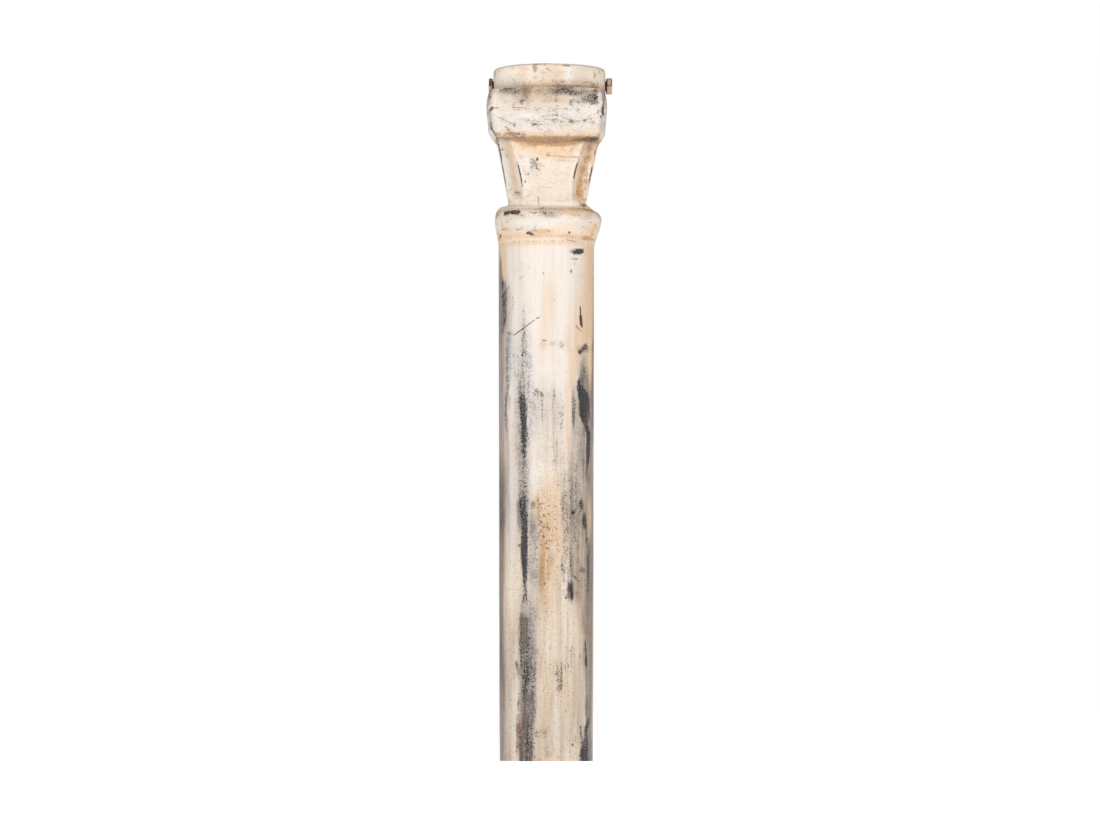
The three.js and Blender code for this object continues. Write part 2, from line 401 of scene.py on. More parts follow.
def wrapped_mesh(levels, closed):
    """A flat grid rolled round an axis, over levels of points. A closed one ends where it began."""
    points = np.stack(levels)
    rows = len(levels)
    around = points.shape[1]
    bm = bmesh.new()
    segments = rows if closed else rows - 1
    bmesh.ops.create_grid(bm, x_segments=around, y_segments=segments, size=0.5)
    for vertex in bm.verts:
        column = round((vertex.co.x + 0.5) * around) % around
        row = round((vertex.co.y + 0.5) * segments) % rows
        vertex.co = Vector(points[row, column]) * MM
    bmesh.ops.remove_doubles(bm, verts=bm.verts, dist=JOINED_WITHIN * MM)
    bmesh.ops.recalc_face_normals(bm, faces=bm.faces)
    return bm


def finished_object(name, bm, crease_degrees):
    """A mesh object at the origin, smooth but for its sharp edges."""
    mesh = bpy.data.meshes.new(name)
    bm.to_mesh(mesh)
    bm.free()
    mesh.shade_smooth()
    mesh.set_sharp_from_angle(angle=math.radians(crease_degrees))
    piece = bpy.data.objects.new(name, mesh)
    bpy.context.scene.collection.objects.link(piece)
    return piece


def mesh_points(mesh):
    """The mesh's points in millimetres, one row each."""
    points = np.empty(len(mesh.vertices) * 3)
    mesh.vertices.foreach_get("co", points)
    return points.reshape(-1, 3) / MM


def raised(mesh, points, lift):
    """The mesh's points, each moved out along its normal by its lift."""
    return points + np.array([vertex.normal for vertex in mesh.vertices]) * lift[:, None]


def waves(points):
    """Smooth noise over points, between -1 and 1."""
    return np.array([noise.noise(Vector(point)) for point in points])


def move_points(mesh, points):
    mesh.vertices.foreach_set("co", (points * MM).ravel())
    mesh.update()


def keep_layers(mesh, layers):
    """Keeps how much of each kind of stain every point of the mesh has."""
    for kind, cover in layers.items():
        mesh.attributes.new(kind, "FLOAT", "POINT").data.foreach_set("value", cover)


def roughen(mesh, points, dents):
    """The casting's unevenness: broad waves left by the mould, a lumpy skin of paint, and dents."""
    head = np.clip((points[:, 2] - SHAFT_TOP) / WAVE_CHANGE, 0, 1)
    broad = waves(points / mix(*WAVE_SIZES, head)[:, None]) * mix(*WAVE_DEPTHS, head)
    lumps = waves(points / LUMP_SIZE) * mix(*LUMP_DEPTHS, head)
    lift = np.minimum(broad + lumps - SKIN_INSET, 0.0) - dents
    move_points(mesh, raised(mesh, points, lift))


class Surface:
    """A side of the casting as it is stained: a place across it and a height, in millimetres."""

    def __init__(self, layers, across, height, inside, wrap=None):
        self.layers = layers
        self.across = across
        self.height = height
        self.inside = inside
        self.wrap = wrap

    def beside(self, across):
        offset = self.across - across
        if self.wrap:
            offset = (offset + self.wrap / 2) % self.wrap - self.wrap / 2
        return offset

    def add(self, kind, cover):
        cover = np.clip(cover * self.inside, 0, 1)
        self.layers[kind] = 1 - (1 - self.layers[kind]) * (1 - cover)

    def patches(self, kind, *ovals):
        """Soft ovals. Each has a place across, a height, half its width and height, and a strength."""
        for across, height, half_width, half_height, strength in ovals:
            aside = self.beside(across) / half_width
            distance = np.hypot(aside, (self.height - height) / half_height)
            self.add(kind, strength * (1 - smooth_step(distance, *OVAL_FADE)))

    def streak(self, kind, *stations):
        """A run down the surface. A station is its height, place across, half width and strength."""
        heights, places, half_widths, strengths = np.array(stations[::-1], dtype=float).T
        place = np.interp(self.height, heights, places)
        half_width = np.interp(self.height, heights, half_widths)
        strength = np.interp(self.height, heights, strengths)
        past_end = np.maximum(heights[0] - self.height, self.height - heights[-1])
        distance = np.abs(self.beside(place)) / half_width
        fade = 1 - smooth_step(distance, *STREAK_FADE)
        self.add(kind, strength * fade * (1 - smooth_step(past_end, 0, STREAK_END)))


# The kinds of wear and stain. Worn paint shows the iron, haze is a bluish film, grime is fine and
# dark, and dirt is brown. Dirt, tan, ochre and rust also paint shade and shadow down the shaft's
# edges, under the collar and the bead, and at the rim's foot. Chalk is paler paint, and in two places
# a painted highlight. Light is painted light, paler paint on faces that the lamps leave darker, and
# mauve is mostly painted shade down the shaft's edges
KINDS = ["worn", "haze", "grime", "dirt_and_shade", "ochre_and_shadow", "tan", "rust_and_shade", "chalk_and_highlight", "light", "mauve_and_edge_shade"]


def stain_left_streak(shaft):
    """The worn streak left of the shaft's middle, its bluish haze, and the rust beside its foot."""
    shaft.streak(
        "worn",
        (572, -30, 4, 0.08), (556, -29, 3, 0.3), (540, -29, 3.5, 0.3), (525, -29, 3, 0.48),
        (514, -29, 4, 0.36), (506, -29.5, 4, 0.56), (499, -29, 4.5, 0.32), (485, -29.5, 6, 0.2),
        (470, -30.5, 7, 0.24), (460, -31, 6.5, 0.34), (452, -32, 5.5, 0.62), (445, -31, 5.8, 0.74),
        (435, -30.5, 5.5, 0.92), (425, -30, 5, 0.95), (416, -29.5, 4.8, 0.84), (404, -29, 6.5, 0.76),
        (396, -29, 6.5, 0.66), (386, -29, 5, 0.6), (376, -29, 4, 0.5), (362, -29.5, 5, 0.3),
        (350, -31, 7, 0.3), (340, -31, 7, 0.44), (334, -30, 6, 0.42), (326, -30, 7, 0.6),
        (318, -30.5, 8, 0.68), (308, -30, 6.5, 0.74), (296, -28.5, 5.5, 0.78), (283, -28.5, 4.8, 0.86),
        (268, -29.5, 5, 0.97), (250, -29.5, 5, 0.92), (240, -28.5, 4, 0.95), (230, -28, 3.4, 0.9),
        (220, -28, 2.6, 0.7), (208, -27.5, 2.4, 0.5), (198, -28, 4, 0.42),
    )
    shaft.streak(
        "worn",
        (204, -29, 4, 0.2), (194, -29, 6, 0.3), (180, -29, 7, 0.34), (168, -28, 8, 0.36),
        (150, -26, 11, 0.38), (140, -28, 9, 0.46), (128, -26, 10.5, 0.44), (115, -25, 10.5, 0.52),
        (100, -25, 10, 0.5), (86, -25, 10, 0.46), (76, -25, 9, 0.38), (62, -26, 8, 0.26),
        (50, -24, 7.5, 0.4), (35, -24, 7.5, 0.5), (20, -25, 6.5, 0.5), (0, -25, 6.5, 0.5),
    )
    shaft.streak("worn", (46, -35, 2, 0.3), (30, -34.5, 2.4, 0.42), (0, -34.5, 2.6, 0.5))
    shaft.streak(
        "haze",
        (590, -30, 5, 0.1), (565, -28, 9, 0.22), (540, -29, 9, 0.4), (515, -30, 14, 0.5),
        (490, -30, 16, 0.55), (465, -30, 15, 0.6), (450, -26, 15, 0.5), (420, -24, 15, 0.45),
        (400, -24, 13, 0.5), (385, -30, 9, 0.45), (365, -31, 10, 0.66), (345, -30, 10, 0.6),
        (325, -30, 11, 0.6), (300, -28, 12, 0.5), (280, -22, 13, 0.5), (255, -19, 13, 0.56),
        (225, -18, 11, 0.6), (205, -17, 10, 0.45), (185, -16, 7, 0.55), (160, -18, 9, 0.5),
        (130, -18, 10, 0.6), (100, -19, 9, 0.4), (75, -19, 8, 0.7), (55, -20, 8, 0.65),
        (30, -20, 8, 0.5), (0, -18, 10, 0.55),
    )
    shaft.streak(
        "haze",
        (320, -37, 4, 0.6), (300, -36, 4.5, 0.8), (285, -35, 4, 0.6), (275, -35, 3, 0.1),
    )
    shaft.streak(
        "haze",
        (460, -38, 5, 0.3), (445, -39, 6, 0.45), (415, -38, 6, 0.5), (385, -38, 6, 0.5),
        (365, -38, 5, 0.3),
    )
    shaft.streak(
        "haze",
        (215, -30, 5, 0.2), (190, -28, 9, 0.4), (150, -26, 12, 0.5), (110, -25, 12, 0.66),
        (70, -24, 11, 0.4), (30, -25, 8, 0.5), (0, -25, 8, 0.5),
    )
    shaft.streak(
        "grime",
        (200, -30, 5, 0.2), (170, -28, 9, 0.4), (120, -26, 12, 0.45), (60, -25, 10, 0.4),
        (0, -25, 8, 0.4),
    )
    shaft.streak(
        "grime",
        (192, -31, 4, 0.2), (175, -31, 6, 0.6), (150, -31, 6, 0.6), (128, -30, 6, 0.3),
        (100, -22, 8, 0.2), (60, -21, 8, 0.3), (40, -28, 12, 0.4), (0, -28, 14, 0.5),
    )
    shaft.streak("grime", (130, -40, 2, 0.1), (119, -41, 3, 0.7), (110, -38, 3, 0.5), (98, -37, 2, 0.2))
    shaft.streak(
        "grime",
        (85, -37, 2, 0.2), (76, -37, 2, 0.6), (62, -39, 3, 0.45), (40, -39, 3, 0.7), (30, -38, 3, 0.5),
        (12, -39, 3, 0.4),
    )
    shaft.streak(
        "dirt_and_shade",
        (105, -31, 4, 0.3), (80, -31, 5, 0.7), (60, -31, 5, 0.8), (40, -32, 5, 0.8), (20, -33, 5, 0.7),
        (0, -34, 5, 0.6),
    )
    shaft.streak(
        "rust_and_shade",
        (56, -33, 2.2, 0.3), (42, -34, 2.5, 0.6), (25, -34, 2.8, 0.55), (0, -34, 2.8, 0.5),
    )


def stain_right_streak(shaft):
    """The worn streak on the shaft's right."""
    shaft.patches(
        "worn",
        (44, 630.5, 8, 2.8, 0.97), (47, 633, 9, 3.2, 0.7), (36, 631, 7, 4, 0.55), (38, 622, 7, 2, 0.5),
        (38, 617, 2, 1.8, 0.5), (32.5, 606, 1.8, 3.2, 0.6), (43, 605, 1.8, 3, 0.25),
    )
    shaft.patches("grime", (60, 627, 7, 1.6, 0.4))
    shaft.patches("dirt_and_shade", (56, 511, 14, 4.5, 0.7), (80, 514, 6, 7, 0.5))
    shaft.patches("haze", (54, 370, 5, 8, 0.7))
    shaft.streak("haze", (615, 48, 8, 0.12), (605, 46, 9, 0.22), (590, 45, 8, 0.12))
    shaft.streak("worn", (516, 58, 5, 0.5), (511, 55, 7, 0.7), (508, 48, 6, 0.75), (505, 46, 4, 0.5))
    shaft.streak(
        "worn",
        (503, 55, 4, 0.22), (490, 53, 6, 0.38), (478, 53, 7, 0.5), (470, 50, 6, 0.52),
        (463, 49, 7, 0.62), (458, 53, 9, 0.85), (450, 55, 10.5, 0.97), (438, 54.5, 10, 0.97),
        (428, 54, 9, 0.9), (421, 56, 7, 0.7), (414, 60, 6, 0.68), (407, 65, 5.5, 0.82),
        (395, 65, 5, 0.92), (382, 64.5, 5, 0.95), (372, 63.5, 4.2, 0.85), (362, 62, 3, 0.5),
    )
    shaft.streak("worn", (470, 44, 2.5, 0.55), (462, 44.5, 3.5, 0.6), (452, 46, 3, 0.5))
    shaft.streak("worn", (455, 64, 3, 0.3), (445, 66, 4, 0.6), (425, 67, 3, 0.5))
    shaft.streak(
        "dirt_and_shade",
        (505, 54, 7, 0.25), (492, 53, 9, 0.5), (475, 53, 10, 0.75), (460, 54, 11, 0.8),
        (425, 56, 12, 0.8), (405, 60, 12, 0.8),
    )
    shaft.streak(
        "dirt_and_shade",
        (488, 62, 6, 0.1), (475, 62, 8, 0.45), (460, 66, 7, 0.7), (445, 68, 7, 0.95),
        (420, 68, 6, 0.8), (385, 65, 7, 0.8), (368, 64, 6, 0.3),
    )
    shaft.streak(
        "mauve_and_edge_shade",
        (372, 62, 3, 0.4), (358, 61.5, 3.5, 0.9), (345, 63, 3, 0.8), (325, 65, 3, 0.5),
    )


def stain_grey_field(shaft):
    """The grey and brown field that the right streak runs into."""
    shaft.patches(
        "worn",
        (50, 316, 5, 8, 0.45), (56, 297, 6, 11, 0.66), (32, 213, 3.6, 7, 0.8), (34, 204, 3.2, 5, 0.92),
        (58, 146, 2, 6, 0.66), (58.5, 138, 2.4, 5, 0.7), (60, 124, 3.4, 8.5, 0.92),
    )
    shaft.patches("chalk_and_highlight", (60, 260, 3, 2.4, 0.9), (50, 272, 6, 7, 0.3), (32, 222, 6, 3, 0.5))
    shaft.patches("haze", (52.5, 236, 7.5, 4.5, 1.0), (48, 243, 4, 4, 0.6), (23, 208, 2.5, 5, 0.5))
    shaft.patches("grime", (32, 209, 6, 13, 0.7), (48, 130, 2, 6, 0.6))
    shaft.patches("rust_and_shade", (26, 202.5, 2.4, 2.6, 0.5))
    shaft.patches("ochre_and_shadow", (26, 202.5, 3, 3, 1))
    shaft.patches("dirt_and_shade", (58, 130, 6, 20, 0.55), (66, 40, 6, 26, 0.5))
    # Painted shade: mauve at the foot of the right edge
    shaft.patches("mauve_and_edge_shade", (62, 66, 5, 18, 0.9), (64, 72, 3, 10, 0.6))
    shaft.streak(
        "dirt_and_shade",
        (470, 37, 3, 0.1), (450, 38, 5, 0.45), (425, 38, 6, 0.42), (405, 44, 11, 0.42),
        (385, 43, 13, 0.46), (365, 42, 15, 0.56), (345, 41, 18, 0.62), (325, 43, 20, 0.74),
        (300, 44, 21, 0.76), (280, 48, 20, 0.56), (255, 50, 20, 0.5), (230, 50, 20, 0.5),
        (210, 52, 18, 0.42), (190, 58, 14, 0.44), (160, 62, 12, 0.5),
    )
    shaft.streak(
        "grime",
        (460, 36, 3, 0.3), (440, 37, 4, 0.5), (418, 36.5, 3, 0.6), (400, 41, 8, 0.2),
        (375, 40, 9, 0.36), (350, 36, 12, 0.4), (330, 38, 15, 0.42), (300, 36, 16, 0.44),
        (275, 34, 15, 0.36), (245, 34, 16, 0.34), (225, 36, 15, 0.32), (205, 38, 12, 0.4),
        (185, 40, 10, 0.1),
    )
    shaft.streak(
        "worn",
        (345, 44, 8, 0.16), (330, 42, 12, 0.2), (300, 44, 14, 0.2), (285, 44, 14, 0.16),
        (265, 42, 14, 0.08), (215, 38, 9, 0.04),
    )
    shaft.streak(
        "worn",
        (290, 60, 4, 0.5), (283, 61, 3, 0.5), (272, 61, 4, 0.6), (262, 62, 3, 0.35),
        (252, 63, 5, 0.55), (240, 65, 3, 0.6), (225, 65, 3.2, 0.55), (207, 64, 3.5, 0.5),
        (195, 62, 3, 0.2),
    )
    shaft.streak("worn", (270, 32, 2, 0.3), (255, 32.5, 2, 0.5), (240, 33, 2, 0.4), (222, 32, 2, 0.2))
    shaft.streak(
        "worn",
        (58, 66, 4, 0.3), (50, 66, 5, 0.55), (44, 63, 5.5, 0.75), (37, 60, 5, 0.6), (30, 61, 6, 0.62),
        (18, 60, 9, 0.66), (10, 57, 9, 0.9), (0, 58, 12, 0.85),
    )
    shaft.streak("worn", (42, 49, 2, 0.5), (34, 49.5, 2, 0.5), (22, 52, 4, 0.3), (10, 52, 5, 0.5))
    shaft.streak("haze", (40, 70, 9, 0.5), (25, 71, 10, 0.8), (0, 72, 11, 0.85))
    shaft.streak("haze", (45, 55, 5, 0.2), (28, 53, 5, 0.5), (10, 52, 6, 0.4))


def stain_left_edge(shaft):
    """Brown dirt with branching scratches at the top of the shaft's left side. Tan, brown and mauve runs
    down the left edge are painted shade, and a pale patch further in is painted light.
    """
    # Painted shade: warm tan at the top of the left edge
    shaft.patches("tan", (-68, 620, 13, 30, 0.85))
    shaft.patches("dirt_and_shade", (-76, 615, 4, 12, 0.8))
    shaft.patches(
        "worn",
        (-70, 594, 5, 3.5, 0.7), (-69, 588, 2.5, 3, 0.6), (-61, 592, 2.5, 3, 0.4),
        (-68, 577, 4, 3.2, 0.72), (-64, 580, 4, 1.8, 0.5), (-66, 568, 4.5, 4, 0.72),
        (-62, 573, 3, 2, 0.4), (-62, 555, 4.5, 9, 0.42), (-65, 544, 5, 5, 0.45),
        (-67, 68, 2.5, 8, 0.4), (-66, 98, 2, 9, 0.35),
    )
    shaft.patches("chalk_and_highlight", (-65, 574, 2, 2.4, 0.8))
    shaft.patches("grime", (-50, 568, 6, 16, 0.3), (-52, 315, 4, 5, 0.3))
    shaft.patches("haze", (-53, 445, 3.5, 9, 0.5))
    # Painted light: a pale patch that brightens the shaft's left side
    shaft.patches("light", (-50, 220, 10, 40, 0.4))
    shaft.streak(
        "dirt_and_shade",
        (640, -82, 3, 0.1), (622, -77, 4, 0.5), (602, -76, 6, 0.85), (594, -71, 9, 0.8),
        (578, -67, 11, 0.75), (560, -67, 10, 0.82), (545, -67, 10, 0.8), (534, -70, 7, 0.7),
    )
    # Painted shade: a brown run down the left edge, where the shaft turns from the lamps
    shaft.streak(
        "dirt_and_shade",
        (380, -74, 8, 0.3), (360, -73, 12, 0.8), (340, -73, 13, 1), (300, -74, 12, 1),
        (280, -75, 10, 0.9), (250, -77, 9, 0.75), (200, -78, 9, 0.6), (165, -76, 9, 0.75),
        (140, -77, 12, 1), (110, -76, 12, 0.9), (80, -75, 11, 0.8), (50, -75, 11, 0.75),
        (0, -76, 12, 0.5),
    )
    shaft.streak("dirt_and_shade", (640, -84, 4, 0.1), (610, -82, 7, 0.6), (560, -82, 7, 0.6), (520, -83, 6, 0.4))
    shaft.streak(
        "dirt_and_shade",
        (606, -57, 4, 0.1), (590, -57, 6, 0.4), (565, -56, 8, 0.36), (535, -58, 9, 0.4),
        (505, -60, 9, 0.3), (478, -60, 7, 0.15),
    )
    shaft.streak(
        "grime",
        (600, -70, 6, 0.5), (590, -66, 9, 0.5), (575, -64, 9, 0.55), (560, -64, 7, 0.5),
        (545, -64, 6, 0.4),
    )
    shaft.streak("grime", (576, -46, 2, 0.3), (566, -45, 3, 0.5), (555, -45, 3, 0.2))
    shaft.streak(
        "grime",
        (510, -57, 4, 0.4), (495, -59, 4, 0.35), (464, -57, 4, 0.5), (440, -62, 4, 0.5),
        (430, -62, 4, 0.4), (400, -58, 2.5, 0.25),
    )
    # Painted shade: a mauve run down the left edge
    shaft.streak(
        "mauve_and_edge_shade",
        (640, -84, 5, 0.1), (610, -80, 9, 0.5), (560, -79, 12, 0.9), (530, -77, 12, 0.9),
        (505, -77, 12, 0.95), (470, -76, 13, 0.9), (440, -77, 14, 0.85), (400, -77, 14, 0.85),
        (375, -77, 14, 0.85), (330, -77, 14, 0.8), (270, -77, 13, 0.85), (210, -78, 12, 0.8),
        (160, -78, 13, 0.85), (100, -77, 13, 0.85), (0, -78, 13, 0.7),
    )
    shaft.streak(
        "worn",
        (350, -75, 5, 0.3), (320, -76, 7, 0.42), (290, -77, 7, 0.42), (270, -78, 5, 0.3),
    )
    shaft.streak(
        "worn",
        (155, -78, 4, 0.3), (125, -78, 6, 0.45), (105, -78, 5, 0.36), (80, -79, 4, 0.2),
    )
    shaft.streak("worn", (315, -65, 2, 0.3), (296, -66, 2, 0.5), (288, -66, 2, 0.3))
    shaft.streak("haze", (530, -52, 9, 0.3), (500, -54, 10, 0.3), (480, -52, 6, 0.1))
    shaft.streak(
        "haze",
        (540, -54, 6, 0.2), (515, -56, 8, 0.45), (480, -56, 8, 0.5), (462, -57, 5, 0.66),
        (445, -61, 5, 0.6), (432, -62, 6, 0.7), (410, -59, 4, 0.6), (380, -57, 4, 0.55),
        (350, -57, 6, 0.45), (310, -55, 7, 0.45), (285, -56, 7, 0.35), (268, -57, 5, 0.1),
    )
    shaft.streak(
        "chalk_and_highlight",
        (380, -48, 6, 0.3), (340, -48, 7, 0.6), (280, -47, 7, 0.6), (250, -47, 6, 0.3),
    )


def stain_right_edge(shaft):
    """Tan stains below the bead. Down the shaft's right side, tan, rust, brown and mauve runs are
    painted shade, where the side turns from the lamps.
    """
    shaft.patches("rust_and_shade", (25, 530, 3, 9, 0.2))
    shaft.patches("tan", (26, 520, 6, 18, 0.4))
    # Painted shade: warm tan down the top of the right edge
    shaft.streak(
        "tan",
        (640, 66, 16, 0.9), (600, 72, 16, 1), (560, 73, 19, 1), (530, 72, 20, 0.95),
        (500, 72, 16, 0.9), (470, 71, 12, 0.9), (455, 71, 9, 0.5),
    )
    shaft.streak(
        "tan",
        (600, 52, 9, 0.2), (570, 50, 15, 0.55), (540, 50, 16, 0.75), (510, 46, 14, 0.7),
        (490, 38, 8, 0.6), (470, 31, 6, 0.5), (440, 28, 5, 0.5), (400, 29, 4, 0.6), (370, 30, 6, 0.35),
    )
    # Painted shade: tan and rust on the right edge; the second rust run, further in, is a stain
    shaft.streak("tan", (325, 70, 5, 0.5), (310, 70, 8, 0.9), (295, 70, 7, 0.85), (283, 72, 5, 0.5))
    shaft.streak("rust_and_shade", (640, 82, 7, 0.25), (595, 77, 9, 0.3), (570, 76, 9, 0.25), (530, 76, 9, 0.2))
    shaft.streak("rust_and_shade", (565, 50, 8, 0.1), (545, 47, 6, 0.2), (530, 50, 9, 0.15), (515, 48, 8, 0.1))
    # Painted shade: a brown run down the right edge
    shaft.streak(
        "dirt_and_shade",
        (630, 88, 5, 0.05), (560, 86, 6, 0.2), (520, 84, 7, 0.5), (490, 84, 8, 0.5), (460, 80, 9, 0.8),
        (430, 77, 12, 0.9), (405, 76, 12, 0.8), (385, 72, 11, 0.6), (350, 75, 12, 0.66),
        (330, 79, 9, 0.7), (310, 82, 8, 0.5), (280, 78, 8, 0.7), (262, 74, 14, 0.95), (235, 73, 14, 1),
        (210, 72, 13, 0.9), (180, 70, 13, 0.75), (150, 69, 13, 0.75), (110, 70, 13, 0.85),
        (80, 70, 11, 0.8), (50, 69, 9, 0.7), (0, 66, 8, 0.5),
    )
    shaft.streak(
        "dirt_and_shade",
        (410, 52, 9, 0.3), (388, 56, 12, 0.62), (370, 56, 13, 0.5), (350, 56, 12, 0.36),
    )
    # Painted shade: a mauve run down the right edge
    shaft.streak(
        "mauve_and_edge_shade",
        (636, 90, 5, 0.1), (560, 88, 6, 0.3), (520, 86, 8, 0.7), (460, 82, 9, 0.6), (380, 74, 9, 0.5),
        (340, 74, 10, 0.5), (300, 80, 6, 0.5), (255, 76, 8, 0.4), (120, 76, 8, 0.5), (0, 76, 8, 0.6),
    )
    shaft.streak("haze", (250, 74, 4, 0.3), (238, 76, 4, 0.5), (225, 77, 4, 0.3))


def stain_shaft_middle(shaft):
    """Yellow and pink runs at the top of the shaft, and the first smudges."""
    shaft.patches("grime", (-3.5, 520, 4, 1.8, 0.6))
    shaft.patches("tan", (-4, 514, 5, 6, 0.6))
    shaft.patches("haze", (8, 516, 5, 5, 0.4), (19, 515, 5, 6, 0.5), (27, 515, 3, 3, 0.3))
    shaft.patches("worn", (7.5, 516.5, 3.5, 3, 0.28), (18.5, 517, 2.6, 2.6, 0.34))
    shaft.streak(
        "tan",
        (600, 0, 5, 0.1), (582, 3, 7, 0.3), (565, 2, 8, 0.36), (540, 0, 9, 0.3), (515, -3, 8, 0.24),
        (490, -6, 6, 0.1),
    )
    shaft.streak(
        "ochre_and_shadow",
        (584, 9, 1.6, 0.2), (560, 6, 2.2, 0.24), (540, -4, 3, 0.2), (520, -6, 2.6, 0.2),
    )
    shaft.streak("ochre_and_shadow", (520, -4, 3, 0.3), (500, -6, 4, 0.2), (470, -7, 5, 0.14), (440, 4, 6, 0.1))


def stain_band_marks(shaft):
    """Smudges where a band once passed round, and the fine dirt under them."""
    shaft.patches("haze", (6, 452, 9, 8, 0.3), (-12, 440, 9, 14, 0.15), (-4, 425, 16, 26, 0.1))
    shaft.patches("grime", (-4, 432, 5, 14, 0.26))
    shaft.patches("chalk_and_highlight", (-16, 350, 8, 20, 0.7))
    shaft.patches("rust_and_shade", (18.5, 364, 2, 5, 0.34), (-8, 347, 2.4, 9, 0.22))
    shaft.streak("grime", (463, -13, 2, 0.2), (456, -11, 8, 0.5), (450, -8, 7, 0.4), (443, -9, 4, 0.2))
    shaft.streak(
        "grime",
        (450, 18, 4, 0.14), (430, 20, 6, 0.34), (414, 20, 5, 0.26), (395, 18, 5, 0.12),
    )
    shaft.streak(
        "grime",
        (460, 0, 16, 0.1), (440, 4, 20, 0.18), (410, 8, 20, 0.16), (370, 10, 18, 0.14),
    )
    shaft.streak("grime", (395, 16, 6, 0.14), (370, 14, 9, 0.3), (350, 18, 9, 0.3), (335, 17, 8, 0.24))
    shaft.streak(
        "worn",
        (458, 10, 1.6, 0.36), (440, 8.5, 2.2, 0.36), (420, 9, 2, 0.34), (400, 9, 1.6, 0.3),
        (370, 10, 2.5, 0.16), (358, 10, 3, 0.1),
    )
    shaft.streak(
        "dirt_and_shade",
        (475, -2, 7, 0.1), (450, 4, 20, 0.2), (430, 6, 22, 0.2), (405, 8, 20, 0.14),
        (370, 6, 20, 0.08),
    )


def stain_ochre_field(shaft):
    """The ochre field between the two worn streaks."""
    shaft.patches("haze", (7, 248, 4, 8, 0.3))
    shaft.patches("chalk_and_highlight", (8, 262, 4, 8, 0.4))
    shaft.patches("grime", (5, 228, 4, 8, 0.3), (-17, 316, 3.5, 5, 0.5))
    shaft.patches("dirt_and_shade", (-17, 316, 4, 6, 0.7))
    shaft.streak(
        "ochre_and_shadow",
        (372, -2, 3, 0.14), (350, -4, 8, 0.3), (338, -4, 11, 0.36), (326, -1, 16, 0.4),
        (312, 2, 17, 0.42), (298, 2, 17, 0.44), (280, 3, 17, 0.44), (262, 3, 16, 0.44),
        (245, 0, 13, 0.48), (230, -3, 10, 0.46), (218, -4, 8, 0.44), (204, -3, 6, 0.42),
        (190, -1, 5, 0.42), (165, -1, 5, 0.36), (140, -5, 5, 0.3), (118, -8, 4, 0.46),
        (100, -8, 4, 0.36), (80, -8, 4, 0.3), (40, -8, 8, 0.3), (0, -8, 8, 0.3),
    )
    shaft.streak(
        "ochre_and_shadow",
        (325, -9, 4, 0.4), (300, -9, 4.5, 0.5), (285, -7, 4, 0.4), (260, -5, 4, 0.34),
        (235, -6, 3.5, 0.4), (220, -5, 4, 0.4),
    )
    shaft.streak(
        "tan",
        (350, 0, 12, 0.3), (320, 4, 18, 0.5), (290, 8, 18, 0.5), (260, 10, 15, 0.4), (235, 8, 13, 0.4),
        (215, 4, 10, 0.3), (190, 2, 7, 0.24),
    )
    shaft.streak("haze", (305, -15, 5, 0.3), (290, -15, 6, 0.45), (270, -14, 6, 0.3))
    shaft.streak("rust_and_shade", (285, 17, 3, 0.1), (268, 16, 3, 0.34), (250, 15, 3, 0.2), (238, 14, 3, 0.1))
    shaft.streak(
        "grime",
        (328, 22, 6, 0.4), (310, 23, 5, 0.3), (290, 24, 5, 0.34), (260, 24, 5, 0.3), (235, 20, 5, 0.3),
        (222, 22, 5, 0.2),
    )
    shaft.streak("dirt_and_shade", (305, -19, 5, 0.3), (292, -18, 5, 0.4), (278, -15, 4, 0.1))


def stain_shaft_foot(shaft):
    """Speckled, weathered paint between the streaks near the shaft's foot."""
    shaft.patches(
        "grime",
        (31, 126, 9, 24, 0.34), (-6, 35, 10, 9, 0.46), (2, 12, 12, 11, 0.36), (33, 36, 3, 6, 0.3),
    )
    shaft.patches("dirt_and_shade", (18, 34, 24, 34, 0.14))
    shaft.patches("ochre_and_shadow", (39, 27, 5, 9, 0.5), (-52, 128, 7, 20, 0.3), (-66, 12, 8, 14, 0.35))
    shaft.patches("chalk_and_highlight", (-50, 60, 8, 40, 0.25))
    shaft.streak(
        "grime",
        (140, 6, 5, 0.1), (128, 10, 9, 0.16), (118, 14, 15, 0.36), (104, 16, 7, 0.42),
        (92, 17, 5, 0.46), (82, 12, 9, 0.34), (66, 8, 8, 0.2), (50, 4, 8, 0.16),
    )
    shaft.streak("grime", (100, 31, 3, 0.2), (78, 31, 4, 0.3), (62, 31, 4, 0.3), (52, 30, 3, 0.1))
    shaft.streak(
        "rust_and_shade",
        (135, 28, 4, 0.1), (120, 24, 6, 0.12), (95, 16, 4, 0.14), (70, 17, 4, 0.16), (60, 17, 3, 0.1),
    )
    shaft.streak("rust_and_shade", (32, 9, 2, 0.14), (22, 9, 2.4, 0.3), (8, 9, 2.4, 0.3), (0, 9, 2, 0.2))
    shaft.streak("worn", (140, -6, 1.6, 0.1), (152, -6, 1.6, 0.2), (160, -6, 1.6, 0.1))
    shaft.streak("chalk_and_highlight", (140, -42, 4, 0.4), (128, -42, 5, 0.6), (118, -42, 3, 0.1))
    shaft.streak("mauve_and_edge_shade", (120, 48, 8, 0.1), (80, 47, 9, 0.3), (50, 47, 8, 0.34), (20, 50, 6, 0.3))
    shaft.streak(
        "dirt_and_shade",
        (160, -46, 10, 0.14), (120, -50, 12, 0.2), (60, -62, 8, 0.24), (0, -62, 10, 0.3),
    )


def stain_shaft(shaft):
    """Stains and wear of the shaft, from the viewer's side. Across is the arc from its middle."""
    stain_left_edge(shaft)
    stain_right_edge(shaft)
    stain_shaft_middle(shaft)
    stain_band_marks(shaft)
    stain_ochre_field(shaft)
    stain_left_streak(shaft)
    stain_right_streak(shaft)
    stain_grey_field(shaft)
    stain_shaft_foot(shaft)


